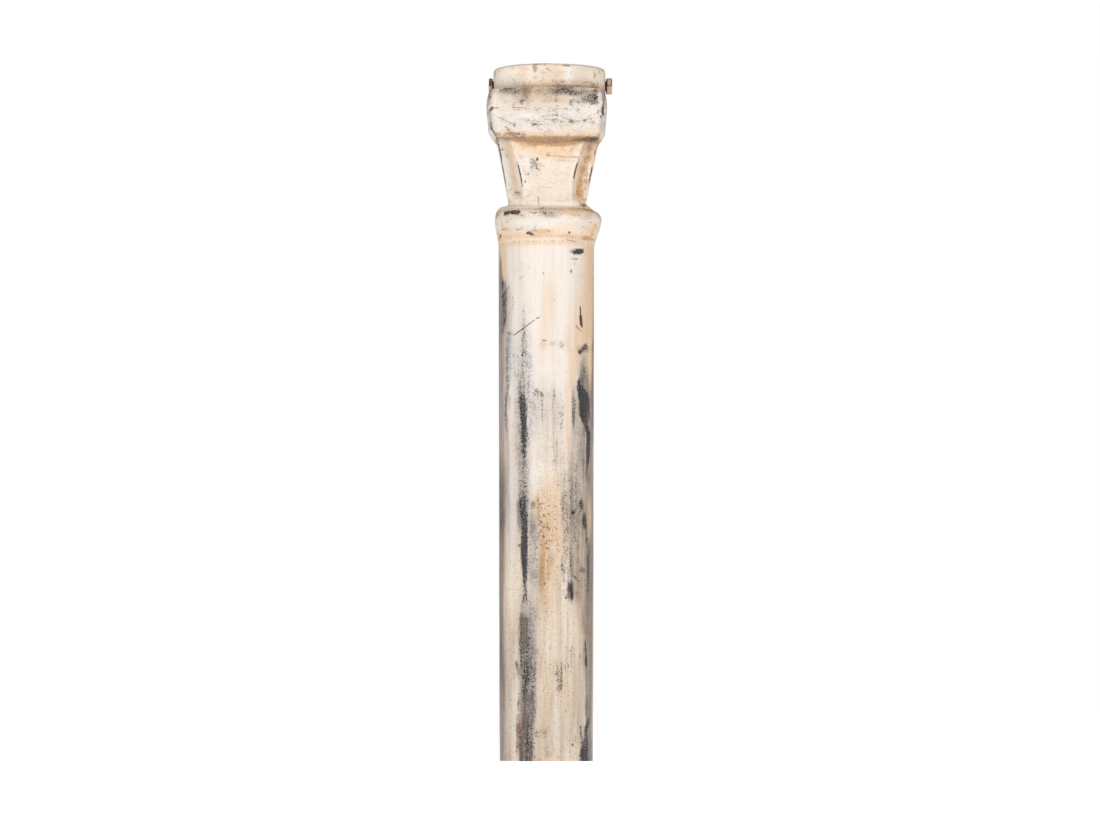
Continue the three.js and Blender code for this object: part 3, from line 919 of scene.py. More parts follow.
def stain_rim(rim):
    """Marks on the rim, painted shade and light on its sides, and the brown line at its foot, which is
    dirt in the joint and painted crevice shade.
    """
    # Tan stains, and tan on the rim's right side and along its foot that is painted shade
    rim.patches(
        "tan",
        (-18, 857.5, 4.6, 6, 0.6), (-34, 850, 6, 2.2, 0.6), (-42, 857, 12, 3, 0.2),
        (-31, 857, 7, 2.4, 0.6), (-8, 852, 16, 9, 0.2), (10, 856, 10, 7, 0.45),
        (50, 850, 14, 11, 0.35), (62, 850, 16, 8, 0.5), (4, 840, 40, 4.6, 0.75),
        (8, 836.5, 52, 3, 0.9),
    )
    # The brown line at the rim's foot, in this dirt and in the tan and ochre, is dirt in the joint and
    # painted crevice shade
    rim.patches(
        "dirt_and_shade",
        (-18, 857.5, 3, 5, 0.5), (-18, 846, 3, 2, 0.4), (13, 844, 10, 9, 0.14), (57, 852, 2, 2.6, 0.4),
        (22, 840, 34, 3.4, 0.16), (26, 835.6, 34, 2.2, 0.14), (26, 835.4, 34, 2.4, 0.5),
    )
    rim.patches(
        "grime",
        (-17, 854.5, 2.4, 2.2, 0.5), (-20, 860, 2, 2.6, 0.5), (-20, 845.4, 1.6, 1.6, 0.4),
        (15, 845, 6, 8, 0.22), (44, 840.5, 5, 2, 0.5), (34, 842, 3, 2, 0.4), (16, 840.5, 3, 2, 0.4),
    )
    rim.patches("worn", (-16, 863.6, 6, 1.3, 0.7), (46, 840.5, 2.4, 1.2, 0.3))
    rim.patches("haze", (21, 860.8, 6.5, 1.8, 0.85), (26, 852, 6, 8, 0.2))
    rim.patches("rust_and_shade", (-30, 858, 4, 2, 0.2), (62, 856, 3, 2, 0.4))
    rim.patches("chalk_and_highlight", (24, 849, 6, 9, 0.6))
    # Painted light: paler paint on the rim's two sides
    rim.patches("light", (-52, 851, 16, 11, 0.85), (56, 851, 14, 9, 0.5))
    rim.patches(
        "ochre_and_shadow",
        (2, 859, 12, 3, 0.2), (67, 848, 6, 8, 0.24), (50, 838, 16, 3, 0.4), (-4, 836.5, 46, 2.2, 0.35),
    )
    rim.streak("tan", (856, -30, 8, 0), (853, -38, 9, 0.5), (849.5, -43, 10, 0.7), (845, -47, 5, 0.35))
    rim.streak("ochre_and_shadow", (852, -33, 7, 0.2), (849.5, -42, 8, 0.45), (846, -46, 4, 0.3))


def stain_shoulder(collar):
    """Speckled dirt on the collar's shoulder, under the rim."""
    collar.patches(
        "tan",
        (-8, 826, 62, 11, 0.3), (-10, 822, 18, 10, 0.4), (-22, 813, 8, 4, 0.6),
        (-14, 808, 30, 3, 0.35), (4, 814, 5, 3, 0.5), (16, 818, 14, 6, 0.6),
    )
    collar.patches(
        "dirt_and_shade",
        (0, 829, 56, 8, 0.26), (0, 833.6, 56, 1.4, 0.2), (-44, 829.5, 21, 5, 0.5),
        (-38, 823, 18, 6, 0.24), (-10, 830, 12, 4, 0.12), (16, 830, 17, 6, 0.5), (38, 829, 19, 6, 0.4),
        (61, 828, 4, 5, 0.6), (15, 826, 8, 4, 0.5), (33, 825, 9, 4, 0.5), (48, 824, 12, 7.5, 0.45),
    )
    collar.patches(
        "grime",
        (-44, 829, 20, 5, 0.4), (-50, 832, 12, 1.4, 0.6), (-44, 821, 16, 3, 0.22),
        (-31, 815.5, 3, 4, 0.55), (-6, 828, 12, 4, 0.2), (18, 830, 15, 5, 0.34), (33, 825, 9, 4, 0.3),
        (36, 829, 20, 6, 0.36), (57, 820, 9, 7, 0.5), (50, 814, 16, 4, 0.34), (60, 813, 6, 4, 0.4),
        (42, 817, 12, 4, 0.34), (29.5, 813.5, 3, 4, 0.5), (8, 818, 12, 5, 0.24),
    )
    collar.patches(
        "worn",
        (-49, 832, 5, 1.2, 0.36), (-36, 829.4, 5, 2.4, 0.42), (8, 832.2, 8, 1.6, 0.4),
        (20, 830.4, 7, 3, 0.42), (14, 826, 4, 2.2, 0.3), (30, 832, 6, 2, 0.34), (56, 821, 9, 5, 0.54),
        (60, 829, 7, 4, 0.5), (42, 826, 8, 4, 0.3), (62, 820, 3, 4, 0.36),
    )
    collar.patches(
        "haze",
        (-38, 826, 9, 4, 0.3), (-31, 815.5, 4, 5, 0.45), (57, 820, 8, 7, 0.6), (52, 814, 14, 4, 0.2),
        (40, 818, 10, 4, 0.35),
    )
    collar.patches(
        "ochre_and_shadow",
        (-12, 816, 16, 3, 0.3), (-22, 813, 7, 4, 0.3), (28, 815, 4, 6, 0.45), (14, 819, 9, 4, 0.24),
    )
    collar.patches("rust_and_shade", (16, 830, 15, 5, 0.2))
    collar.streak(
        "ochre_and_shadow",
        (834, -23, 10, 0.45), (826, -25, 7, 0.6), (818, -23, 8, 0.42), (812, -22, 8, 0.2),
    )
    collar.streak("dirt_and_shade", (834, -26, 7, 0.4), (826, -27, 5, 0.5), (817, -27, 4, 0.24))
    collar.streak("rust_and_shade", (830, -22, 4, 0.2), (818, -20, 6, 0.2))


def stain_collar(collar):
    """Smudges, rust and chips on the collar's face, painted light on its corners, and painted shade
    along its lower edge.
    """
    collar.patches(
        "chalk_and_highlight",
        (0, 800, 104, 26, 0.36), (-30, 796, 22, 9, 0.55), (46, 803, 22, 9, 0.5),
        (-62, 800, 8, 18, 0.4),
    )
    collar.patches(
        "haze",
        (0, 800, 104, 30, 0.16), (20, 792, 50, 5, 0.18), (-14, 789, 9, 4, 0.14),
        (-32, 806, 12, 2.4, 0.35), (12, 803, 8, 3, 0.34),
    )
    collar.patches("dirt_and_shade", (0, 806, 104, 26, 0.08), (-2, 822, 68, 12, 0.14))
    collar.patches(
        "grime",
        (0, 801, 72, 26, 0.2), (14, 792, 50, 6, 0.16), (38, 790, 4, 2.4, 0.4), (30, 791, 4, 2.4, 0.6),
        (47, 791.5, 2.4, 2, 0.5), (57, 790, 4, 2, 0.5), (-24, 792, 4, 3, 0.14), (-6, 787, 8, 2, 0.14),
        (-2, 798, 12, 2.4, 0.14), (12, 799, 12, 2.4, 0.24), (-40, 786, 2.4, 3, 0.66),
        (-54, 790.5, 6, 1.6, 0.3), (-32, 786, 8, 3, 0.2), (-56, 795, 3, 2, 0.4),
        (-50, 815, 14, 3, 0.3), (4, 806, 30, 6, 0.22), (38.5, 804.6, 2.6, 2.2, 0.6),
        (64.5, 804.4, 3, 2, 0.6), (67.5, 797, 1.6, 2.6, 0.6), (-71.5, 807.6, 3.4, 3, 0.5),
        (-66, 808, 7, 1.4, 0.55),
    )
    # Tan stains, and tan along the collar's lower edge that is painted shade where the face turns under
    collar.patches(
        "tan",
        (-6, 814, 66, 8, 0.24), (-50, 804, 12, 6, 0.5), (15, 784, 14, 3, 0.75), (73, 784, 5, 9, 0.3),
    )
    collar.patches(
        "worn",
        (8, 792.6, 12, 1.6, 0.16), (34, 789, 10, 2, 0.14), (-22, 791, 4, 3, 0.12),
        (-16, 787.6, 3.2, 1.8, 0.66), (-13, 786.4, 4, 1.4, 0.5), (-39.5, 784.6, 1.8, 1.6, 0.5),
        (-42, 807.6, 2.4, 1.3, 0.4), (38.5, 804.6, 2, 1.6, 0.3), (-72, 823.5, 2.8, 1.8, 0.95),
        (72, 808, 2.4, 5, 1), (71, 802.6, 2.6, 3, 1),
    )
    collar.patches("ochre_and_shadow", (-41, 811, 3, 4, 0.6), (-53, 796.8, 5, 4, 0.42), (62.5, 801.6, 3, 2.4, 0.7))
    collar.patches("rust_and_shade", (63.5, 801.6, 2.4, 2, 0.5), (-70.5, 808, 4.4, 3, 0.8))
    # Painted light: paler paint on the collar's corners, which turn from the lamps, and on a strip of
    # its face
    collar.patches("light", (72.5, 806, 5, 26, 1), (-70, 806, 6, 22, 0.6), (-22, 796.5, 14, 4, 0.4))
    collar.streak(
        "worn",
        (804, -71, 1.5, 0.34), (796, -70.8, 1.5, 0.4), (789, -70.5, 1.8, 0.7), (781, -69.8, 2.2, 0.92),
        (775, -67.5, 2.6, 0.85), (771, -64, 2, 0.4),
    )


def stain_neck(neck):
    """Speckles and brushed paint on the neck's face, and the brown band at its top, which is painted
    shadow under the collar over a brown stain.
    """
    # Painted shadow: the tan, dirt, rust and ochre at the neck's top, under the collar, over a brown
    # stain
    neck.patches(
        "tan",
        (12, 730, 32, 34, 0.14), (-2, 767, 44, 10, 0.85), (-2, 757, 44, 9, 0.8), (21, 748, 21, 6, 0.4),
        (-4, 748, 5, 4, 0.5), (28, 700, 6, 6, 0.5),
    )
    neck.patches(
        "dirt_and_shade",
        (0, 769, 46, 5, 0.24), (46, 769, 14, 3, 0.6), (-50, 769.5, 6, 2, 0.1),
        (0.5, 750, 2.2, 2.4, 0.6),
    )
    neck.patches("rust_and_shade", (0, 767, 50, 5.5, 0.12), (-32, 758, 5, 3, 0.3), (-12, 759.5, 12, 1.8, 0.2))
    neck.patches(
        "ochre_and_shadow",
        (2, 768.5, 54, 5, 0.95), (6, 764, 38, 4.6, 0.75), (-25, 760.5, 15, 4, 0.34),
        (21, 746, 21, 5, 0.26), (-5, 742, 8, 9, 0.18), (-7, 737, 6, 3.4, 0.4),
        (-18, 707, 10, 10, 0.26), (27, 704, 3, 6, 0.4),
    )
    # Paler paint, and beside the right arris a painted highlight
    neck.patches("chalk_and_highlight", (-27, 736, 9, 20, 0.35), (29, 712, 4, 16, 0.4))
    neck.patches("haze", (-16, 737, 8, 12, 0.3))
    neck.patches(
        "grime",
        (-16, 738, 9, 13, 0.36), (-20, 745, 3, 3, 0.24), (-18, 740, 4, 4, 0.3), (-26, 727, 5, 4, 0.3),
        (8, 735, 26, 10, 0.12), (2, 722, 24, 12, 0.1), (0, 711, 15, 1.4, 0.24),
        (-22, 700, 12, 8, 0.18),
    )
    neck.patches(
        "worn",
        (-16, 739, 7, 10, 0.16), (-12.5, 745.4, 1.7, 2, 0.9), (-27.4, 717.5, 1.2, 3, 0.55),
        (27, 729, 4, 6, 0.2), (25.5, 735, 2.4, 2, 0.3),
    )


def stain_flutes(neck):
    """Stains in the flutes, tan down their inner walls that is stain and painted shade, and painted
    light on the right flute's outer strip, at the flutes' feet and at the neck's foot.
    """
    neck.patches("worn", (-55.5, 759, 1.4, 1.8, 0.7))
    neck.patches(
        "grime",
        (-50.5, 751, 1.6, 1.8, 0.6), (-36, 706, 3, 2.4, 0.5), (-35, 699, 4, 4, 0.2),
        (44.5, 690, 4, 2, 0.36),
    )
    neck.patches("tan", (-34, 694, 5, 4, 0.4), (56, 742, 3, 16, 0.3))
    neck.patches("rust_and_shade", (-34, 696, 3, 4, 0.24), (44, 690, 4, 2.6, 0.5))
    # Painted light: paler paint on the right flute's outer strip, at the flutes' feet and on the ledge
    # at the neck's foot
    neck.patches(
        "light",
        (53, 728, 3, 14, 0.8), (-41, 697, 8, 6, 0.8), (0, 690, 34, 3.6, 0.85), (46, 696, 4, 4, 0.4),
    )
    neck.streak("mauve_and_edge_shade", (766, -53, 6, 0.24), (740, -47, 6, 0.2), (700, -41, 6, 0.12))
    # Painted shade, with a stain in the left flute: tan down the inner walls of the flutes
    neck.streak(
        "tan",
        (765, -48, 3, 0.5), (750, -46, 3, 0.7), (730, -43, 3, 0.85), (712, -38, 4, 0.6),
        (697, -35, 5, 0.7),
    )
    neck.streak("tan", (768, 54, 9, 0.9), (740, 47, 9, 1), (715, 43, 8, 0.95), (697, 41, 9, 0.9))
    neck.streak("ochre_and_shadow", (735, -43, 2.4, 0.3), (726, -42, 2.4, 0.34), (716, -40, 2.4, 0.2))
    neck.streak(
        "ochre_and_shadow",
        (760, 53, 6, 0.5), (735, 45, 5, 0.3), (718, 40, 4, 0.7), (708, 40, 5, 0.8), (700, 40, 5, 0.2),
    )
    neck.streak("chalk_and_highlight", (765, -58, 4, 0.6), (740, -53, 4, 0.6), (715, -48, 4, 0.5), (700, -46, 3, 0.4))
    neck.streak("dirt_and_shade", (768, 50, 6, 0.3), (748, 48, 6, 0.24), (735, 42, 5, 0.3), (722, 40, 3, 0.1))
    neck.streak("rust_and_shade", (725, 40, 3, 0.1), (708, 38, 4, 0.24), (697, 42, 8, 0.24), (690, 44, 8, 0.3))
    neck.streak(
        "grime",
        (765, 50, 5, 0.2), (745, 48, 6, 0.12), (728, 44, 5, 0.14), (712, 46, 4, 0.14),
        (700, 42, 3, 0.14),
    )


def stain_bead(bead):
    """Dirt on the bead's shoulder and ledge, chips, painted light on its sides, a painted highlight
    across its front, and the peach band at its foot, which is painted shade under the bead.
    """
    # Tan stains on the ledge. The peach round the bead's foot and on its lower sides, with the ochre
    # there, is painted shade
    bead.patches(
        "tan",
        (0, 683, 60, 3, 0.5), (-4, 655, 18, 4, 0.5), (34, 683, 24, 5, 0.85), (40, 678, 24, 4, 0.5),
        (-50, 684, 9, 3, 0.5), (0, 655, 90, 8, 0.34), (0, 648.6, 90, 5, 0.95), (60, 658, 10, 12, 0.9),
        (-60, 654, 12, 12, 0.5),
    )
    bead.patches(
        "dirt_and_shade",
        (0, 682.4, 54, 2.2, 0.24), (0, 681.5, 20, 4.4, 0.24), (4, 677, 30, 4, 0.3),
        (40, 684, 16, 1.4, 0.4), (2, 673, 12, 3, 0.3), (-6, 655, 16, 3, 0.2), (42, 646, 18, 2.2, 0.36),
    )
    bead.patches(
        "grime",
        (0, 681, 26, 5, 0.42), (0, 674, 18, 4, 0.24), (-33, 684, 14, 2.6, 0.3), (-34, 675, 6, 3, 0.4),
        (-24, 678.6, 6, 1.2, 0.5), (33, 675.5, 6, 3, 0.3), (44, 674, 10, 5, 0.26),
        (-50, 668.5, 3, 1.8, 0.5), (-56, 667, 3.5, 3, 0.3), (-54, 661.5, 8, 2.4, 0.3),
        (-36, 658.5, 10, 3, 0.4), (-13, 655.4, 5, 1.6, 0.5), (62, 648, 3, 3, 0.4),
    )
    bead.patches("ochre_and_shadow", (2, 680, 26, 5.5, 0.5), (20, 648.5, 50, 4, 0.5), (-50, 652, 14, 3, 0.2))
    # Painted light: paler paint on the bead's two sides
    bead.patches("light", (60, 677, 6, 5, 0.6), (-58, 675, 7, 7, 0.6))
    bead.patches(
        "worn",
        (-1, 679, 5, 2.4, 0.26), (-13, 683, 6, 1.6, 0.26), (-44.5, 680, 3.6, 2.6, 0.98),
        (-40, 678.4, 4, 2.4, 0.8), (-39, 681.4, 5, 2.4, 0.6), (-37, 678, 5, 3, 0.34),
        (-17, 677.2, 4.4, 1.3, 0.66), (-2, 675, 9, 1.4, 0.3), (33, 675.5, 4, 2, 0.26),
        (43, 672.5, 3, 1.6, 0.34), (53.5, 668.6, 2.4, 1.4, 0.5), (-31.6, 660.8, 1.8, 1.2, 0.5),
        (-23, 653.4, 3.6, 1.8, 0.88), (-20, 651.8, 4, 1.6, 0.66), (-17, 650.4, 4, 1.4, 0.4),
        (0.6, 655.4, 2.6, 1.3, 0.36), (27.6, 653.8, 1.6, 1.7, 0.85),
    )
    bead.patches(
        "rust_and_shade",
        (38, 684.4, 18, 1.8, 0.3), (4, 647.6, 64, 3.4, 0.16), (57, 658, 5, 7, 0.3),
        (30, 646, 26, 2.4, 0.36), (-14, 646, 16, 1.6, 0.24), (-58, 646, 8, 5, 0.25),
    )
    # Painted highlight: paler paint across the bead's front
    bead.patches("chalk_and_highlight", (-12, 661, 20, 4, 0.5), (-10, 667, 30, 5, 0.6))
    bead.patches("haze", (-38, 676, 12, 5, 0.35), (40, 674, 12, 4, 0.2), (41, 660.6, 4, 1.2, 0.5))


def stain_head(face):
    """Stains and wear of the rim, collar, neck and bead, for one of their four faces."""
    stain_rim(face)
    stain_shoulder(face)
    stain_collar(face)
    stain_neck(face)
    stain_flutes(face)
    stain_bead(face)


def stain_collar_edge(edge):
    """Dirt and rust along the collar's sagging lower edge, in a tan and ochre band that is painted
    shadow under the collar's overhang. Heights are those at its corners.
    """
    edge.patches("chalk_and_highlight", (0, 787, 80, 4, 0.4))
    # Painted shadow: the tan, dirt, rust and ochre band under the collar's overhang
    edge.patches("tan", (6, 783, 84, 6, 0.5), (4, 776.5, 84, 5.5, 1))
    edge.patches(
        "dirt_and_shade",
        (6, 783, 84, 7, 0.1), (4, 774.2, 78, 4, 0.28), (46, 773, 18, 2.2, 0.4), (-50, 773, 8, 2, 0.2),
    )
    edge.patches(
        "rust_and_shade",
        (4, 774, 76, 4, 0.12), (-51, 786, 2.8, 2.4, 0.4), (-47, 779, 9, 2.4, 0.34),
        (-35, 781, 8, 2.6, 0.34), (-29, 779, 4, 3.4, 0.4),
    )
    edge.patches("ochre_and_shadow", (4, 775, 72, 4, 0.7), (-49, 785, 4, 3.4, 0.5))
    edge.patches(
        "grime",
        (-51, 786, 2, 1.8, 0.5), (-40, 779, 16, 3.4, 0.5), (44, 773, 22, 2.2, 0.4),
        (-32, 774.6, 12, 2, 0.4),
    )
    edge.patches("worn", (-54, 777.5, 3, 1.4, 0.4), (-36, 780, 3, 1.2, 0.3))


# Wear along the neck's arrises: for each, its heights with the strength there
ARRIS_WEAR = {
    "front left": [
        (764, 0.06), (750, 0.14), (742, 0.3), (736, 0.85), (728, 1), (720, 0.8), (712, 0.36), (700, 0.1),
    ],
    "front right": [
        (764, 0.4), (754, 0.3), (748, 0.4), (741, 0.5), (735, 1), (727, 1), (721, 0.4), (700, 0.1),
    ],
    "outer left": [
        (772, 0.6), (760, 0.9), (748, 1), (735, 0.7), (722, 0.85), (712, 0.4), (700, 0.1),
    ],
    "outer right": [
        (770, 0.2), (760, 0.3), (756, 0.66), (750, 0.24), (735, 0.16), (720, 0.2), (700, 0.1),
    ],
}


def stain_arrises(layers, points):
    """Iron shows where the paint has gone from the neck's arrises."""
    x, y, height = points.T
    x = x - member_shift(height)
    half, face = neck_section(height)
    on_neck = smooth_step(height, NECK_FOOT - 2, NECK_FOOT + 4)
    on_neck = on_neck * (1 - smooth_step(height, NECK_TOP - 1.5, NECK_TOP + 3.5))
    for turn in range(4):
        across, inward = turned(x, y, turn)
        corners = {
            "front left": (-face, -half),
            "front right": (face, -half),
            "outer left": (-half, -face),
            "outer right": (half, -face),
        }
        for name, (corner_across, corner_inward) in corners.items():
            heights, strengths = np.array(ARRIS_WEAR[name][::-1]).T
            strength = np.interp(height, heights, strengths)
            if turn != 0:
                # An outer arris is a neighbour's own one as well
                strength = strength * ARRIS_SIDE_STRENGTH * (0.5 if name.startswith("outer") else 1)
            distance = np.hypot(across - corner_across, inward - corner_inward)
            cover = strength * on_neck * (1 - smooth_step(distance, *ARRIS_HALF_WIDTH))
            layers["worn"] = np.maximum(layers["worn"], cover)


def turned(x, y, quarters):
    """A place seen from the side that many quarter turns anticlockwise of the front, from above."""
    angle = quarters * math.pi / 2
    return x * math.cos(angle) + y * math.sin(angle), y * math.cos(angle) - x * math.sin(angle)


def stain_hollow(hollow, on_top, radius):
    """Rust and dirt inside the casting, and round the inner edge of its top."""
    hollow.add("dirt_and_shade", 0.75)
    hollow.add("rust_and_shade", 0.4)
    hollow.add("worn", 0.4)
    top = Surface(hollow.layers, hollow.across, hollow.height, on_top)
    from_edge = radius - SOCKET_RADIUS
    top.add("dirt_and_shade", 0.2 + 0.6 * (1 - smooth_step(from_edge, 0, 6)))
    top.add("rust_and_shade", 0.6 * (1 - smooth_step(from_edge, 0, 4)))
    top.add("worn", 0.5 * (1 - smooth_step(from_edge, 0, 3)))


def stain_column(points):
    """How much of each kind of stain and wear every point of the casting has, from 0 to 1."""
    layers = {kind: np.zeros(len(points)) for kind in KINDS}
    x, y, height = points.T
    radius = np.hypot(x, y)
    on_top = smooth_step(height, COLUMN_TOP - 3, COLUMN_TOP - 0.5)
    inner = np.where(height > NECK_TOP, SOCKET_RADIUS, BORE_RADIUS + 5)
    clean = mix(inner + 1, TOP_CLEAN_RADIUS, on_top)
    marked = mix(inner + 3, TOP_MARKED_RADIUS, on_top)
    outside = smooth_step(radius, clean, marked)
    above_shaft = smooth_step(height, HEAD_STAINS_FROM, HEAD_STAINS_WHOLE)
    on_shaft = outside * (1 - above_shaft)
    on_head = outside * above_shaft
    arc = np.arctan2(x, -y) * SHAFT_TOP_RADIUS
    girth = 2 * math.pi * SHAFT_TOP_RADIUS
    at_back = smooth_step(np.abs(arc), girth / 4, girth / 4 + BACK_BLEND)
    stain_shaft(Surface(layers, arc, height, on_shaft * (1 - at_back), girth))
    on_back = on_shaft * at_back * BACK_STRENGTH
    stain_shaft(Surface(layers, arc + girth / 2, height, on_back, girth))
    round_shaft = Surface(layers, arc, height, on_shaft, girth)
    # Painted shade: a peach and ochre ring round the shaft, under the bead
    round_shaft.patches("tan", (0, 641, 400, 3.5, 0.7))
    round_shaft.patches("ochre_and_shadow", (0, 643.5, 400, 2.5, 0.4))
    hollow = 1 - smooth_step(radius, inner, inner + 2)
    stain_hollow(Surface(layers, arc, height, hollow), on_top, radius)
    x = x - member_shift(height)
    square = (height > NECK_FOOT) & (height < RIM_FOOT - 1)
    in_front = smooth_step(-y - np.abs(x) * np.where(square, 0.5, 0.0), 0, 10)
    for turn in range(4):
        across, inward = turned(x, y, turn)
        facing = smooth_step(-inward - np.abs(across), -4, 6) * SIDE_STRENGTH if turn else in_front
        at_side = turn % 2 == 1
        # The sides mirror the front, and the back repeats it
        across = -across if at_side else across
        sagging = SAG_SIDE if at_side else SAG_FRONT
        sag = sagging * (1 - np.clip(across / SAG_HALF_WIDTH, -1, 1) ** 2)
        stain_head(Surface(layers, across, height, on_head * facing))
        stain_collar_edge(Surface(layers, across, height + sag, on_head * facing))
    stain_arrises(layers, points)
    return layers


def dent_column(points):
    """Depths of the chips along the collar and rim."""
    layers = {"dent": np.zeros(len(points))}
    x, y, height = points.T
    front = Surface(layers, x, height, smooth_step(-y, 8, 26))
    front.patches(
        "dent",
        (71.5, 807, 3, 5.8, 1.0), (-70, 808, 5, 2.6, 0.8), (-72, 823, 3, 2.4, 0.7),
        (-14, 857.5, 2, 4, 0.5), (-69, 775, 9, 7, 1.0), (-31, 774, 8, 3, 0.4), (-15, 788, 3, 2, 0.4),
    )
    return layers["dent"] * DENT_DEPTH


def make_column():
    levels = shaft_levels() + bead_levels() + neck_levels()
    levels += collar_levels() + rim_levels() + hollow_levels()
    column = finished_object("column_casting", wrapped_mesh(levels, closed=True), CASTING_CREASE)
    points = mesh_points(column.data)
    keep_layers(column.data, stain_column(points))
    roughen(column.data, points, dent_column(points))
    return column


# The points of each ring round a bolt, by their angle from the bolt's back
bolt_angle = np.linspace(0, 2 * math.pi, BOLT_STEPS, endpoint=False)


def bolt_ring(along, radius):
    """A ring of points round a bolt that points along X, with a corner of its hexagon in front."""
    aside = -radius * np.cos(bolt_angle)
    height = BOLT_HEIGHT + radius * np.sin(bolt_angle)
    return np.stack([np.full(BOLT_STEPS, along), aside, height], axis=1)


def bolt_levels(head_foot, head_reach):
    """Rings from the tip of a bolt's shank to the middle of its chamfered hex head."""
    hexagon = BOLT_ACROSS_FLATS / 2 / np.cos(bolt_angle % (math.pi / 3) - math.pi / 6)
    corner = BOLT_ACROSS_FLATS / math.sqrt(3)
    face_radius = (BOLT_ACROSS_FLATS - BOLT_CHAMFER) / 2
    shank = [bolt_ring(BOLT_TIP, 0), bolt_ring(BOLT_TIP, BOLT_TIP_RADIUS)]
    for part in [0, *parts(BOLT_LEVELS)]:
        shank.append(bolt_ring(mix(BOLT_TIP + BOLT_TIP_BEVEL, head_foot, part), BOLT_SHANK_RADIUS))
    underside = [bolt_ring(head_foot + 0.1, 9.0), bolt_ring(head_foot + 0.4, 9.2)]
    side = []
    for along in np.linspace(head_foot + 0.4, head_reach - 0.05, 16):
        limit = mix(face_radius, corner + 1, (head_reach - along) / BOLT_CHAMFER)
        side.append(bolt_ring(along, np.minimum(hexagon, limit)))
    face = [bolt_ring(head_reach - 0.05, face_radius * (1 - part)) for part in parts(BOLT_LEVELS)]
    return shank + underside + side + face


def stain_bolt(points, head_foot, head_reach, pale_strength):
    """The iron of a bolt's head that is pale, bright with rust, or dark at its foot by the rim from dirt
    and painted shadow, from 0 to 1.
    """
    along, y, height = points.T
    up = height - BOLT_HEIGHT
    # How far round from the front a point is, upwards, and how far out along the head
    turn = np.degrees(np.arctan2(up, -y))
    outward = (along - head_foot) / (head_reach - head_foot)
    upper = smooth_step(turn, 1, 6) * (1 - smooth_step(turn, 52, 58))
    lower = 1 - smooth_step(turn, -8, -2)
    middle = smooth_step(outward, 0.16, 0.3) * (1 - smooth_step(outward, 0.78, 0.9))
    rusty = np.where(np.hypot(up, y) > 8.9, np.maximum(lower, 0.2), 0.4)
    return {
        "pale": np.maximum(upper, lower * 0.45) * middle * pale_strength,
        "bright": rusty * smooth_step(outward, 0.1, 0.3),
        # Dirt and painted shadow: near black at the head's foot, in the gap by the rim
        "gap_shadow_and_dirt": 1 - smooth_step(outward, 0.02, 0.16),
    }


def make_bolt(name, head, side, pale_strength):
    """A rusty hex bolt, through the rim on the left where side is -1, or the right where it is 1."""
    bolt = finished_object(name, wrapped_mesh(bolt_levels(*head), closed=False), BOLT_CREASE)
    points = mesh_points(bolt.data)
    keep_layers(bolt.data, stain_bolt(points, *head, pale_strength))
    pits = np.minimum(waves(points / PIT_SIZE) * PIT_DEPTH - PIT_INSET, 0)
    points = raised(bolt.data, points, pits)
    points[:, 0] = np.minimum(points[:, 0], head[1]) * side + RIM_SHIFT
    if side < 0:
        bolt.data.flip_normals()
    move_points(bolt.data, points)
    return bolt


class Value:
    """A socket of a material's nodes. An expression on values adds Math nodes."""

    def __init__(self, finish, socket):
        self.finish = finish
        self.socket = socket

    def __add__(self, other):
        return self.finish.math("ADD", self, other)

    def __sub__(self, other):
        return self.finish.math("SUBTRACT", self, other)

    def __rsub__(self, other):
        return self.finish.math("SUBTRACT", other, self)

    def __mul__(self, other):
        return self.finish.math("MULTIPLY", self, other)

    __radd__ = __add__
    __rmul__ = __mul__


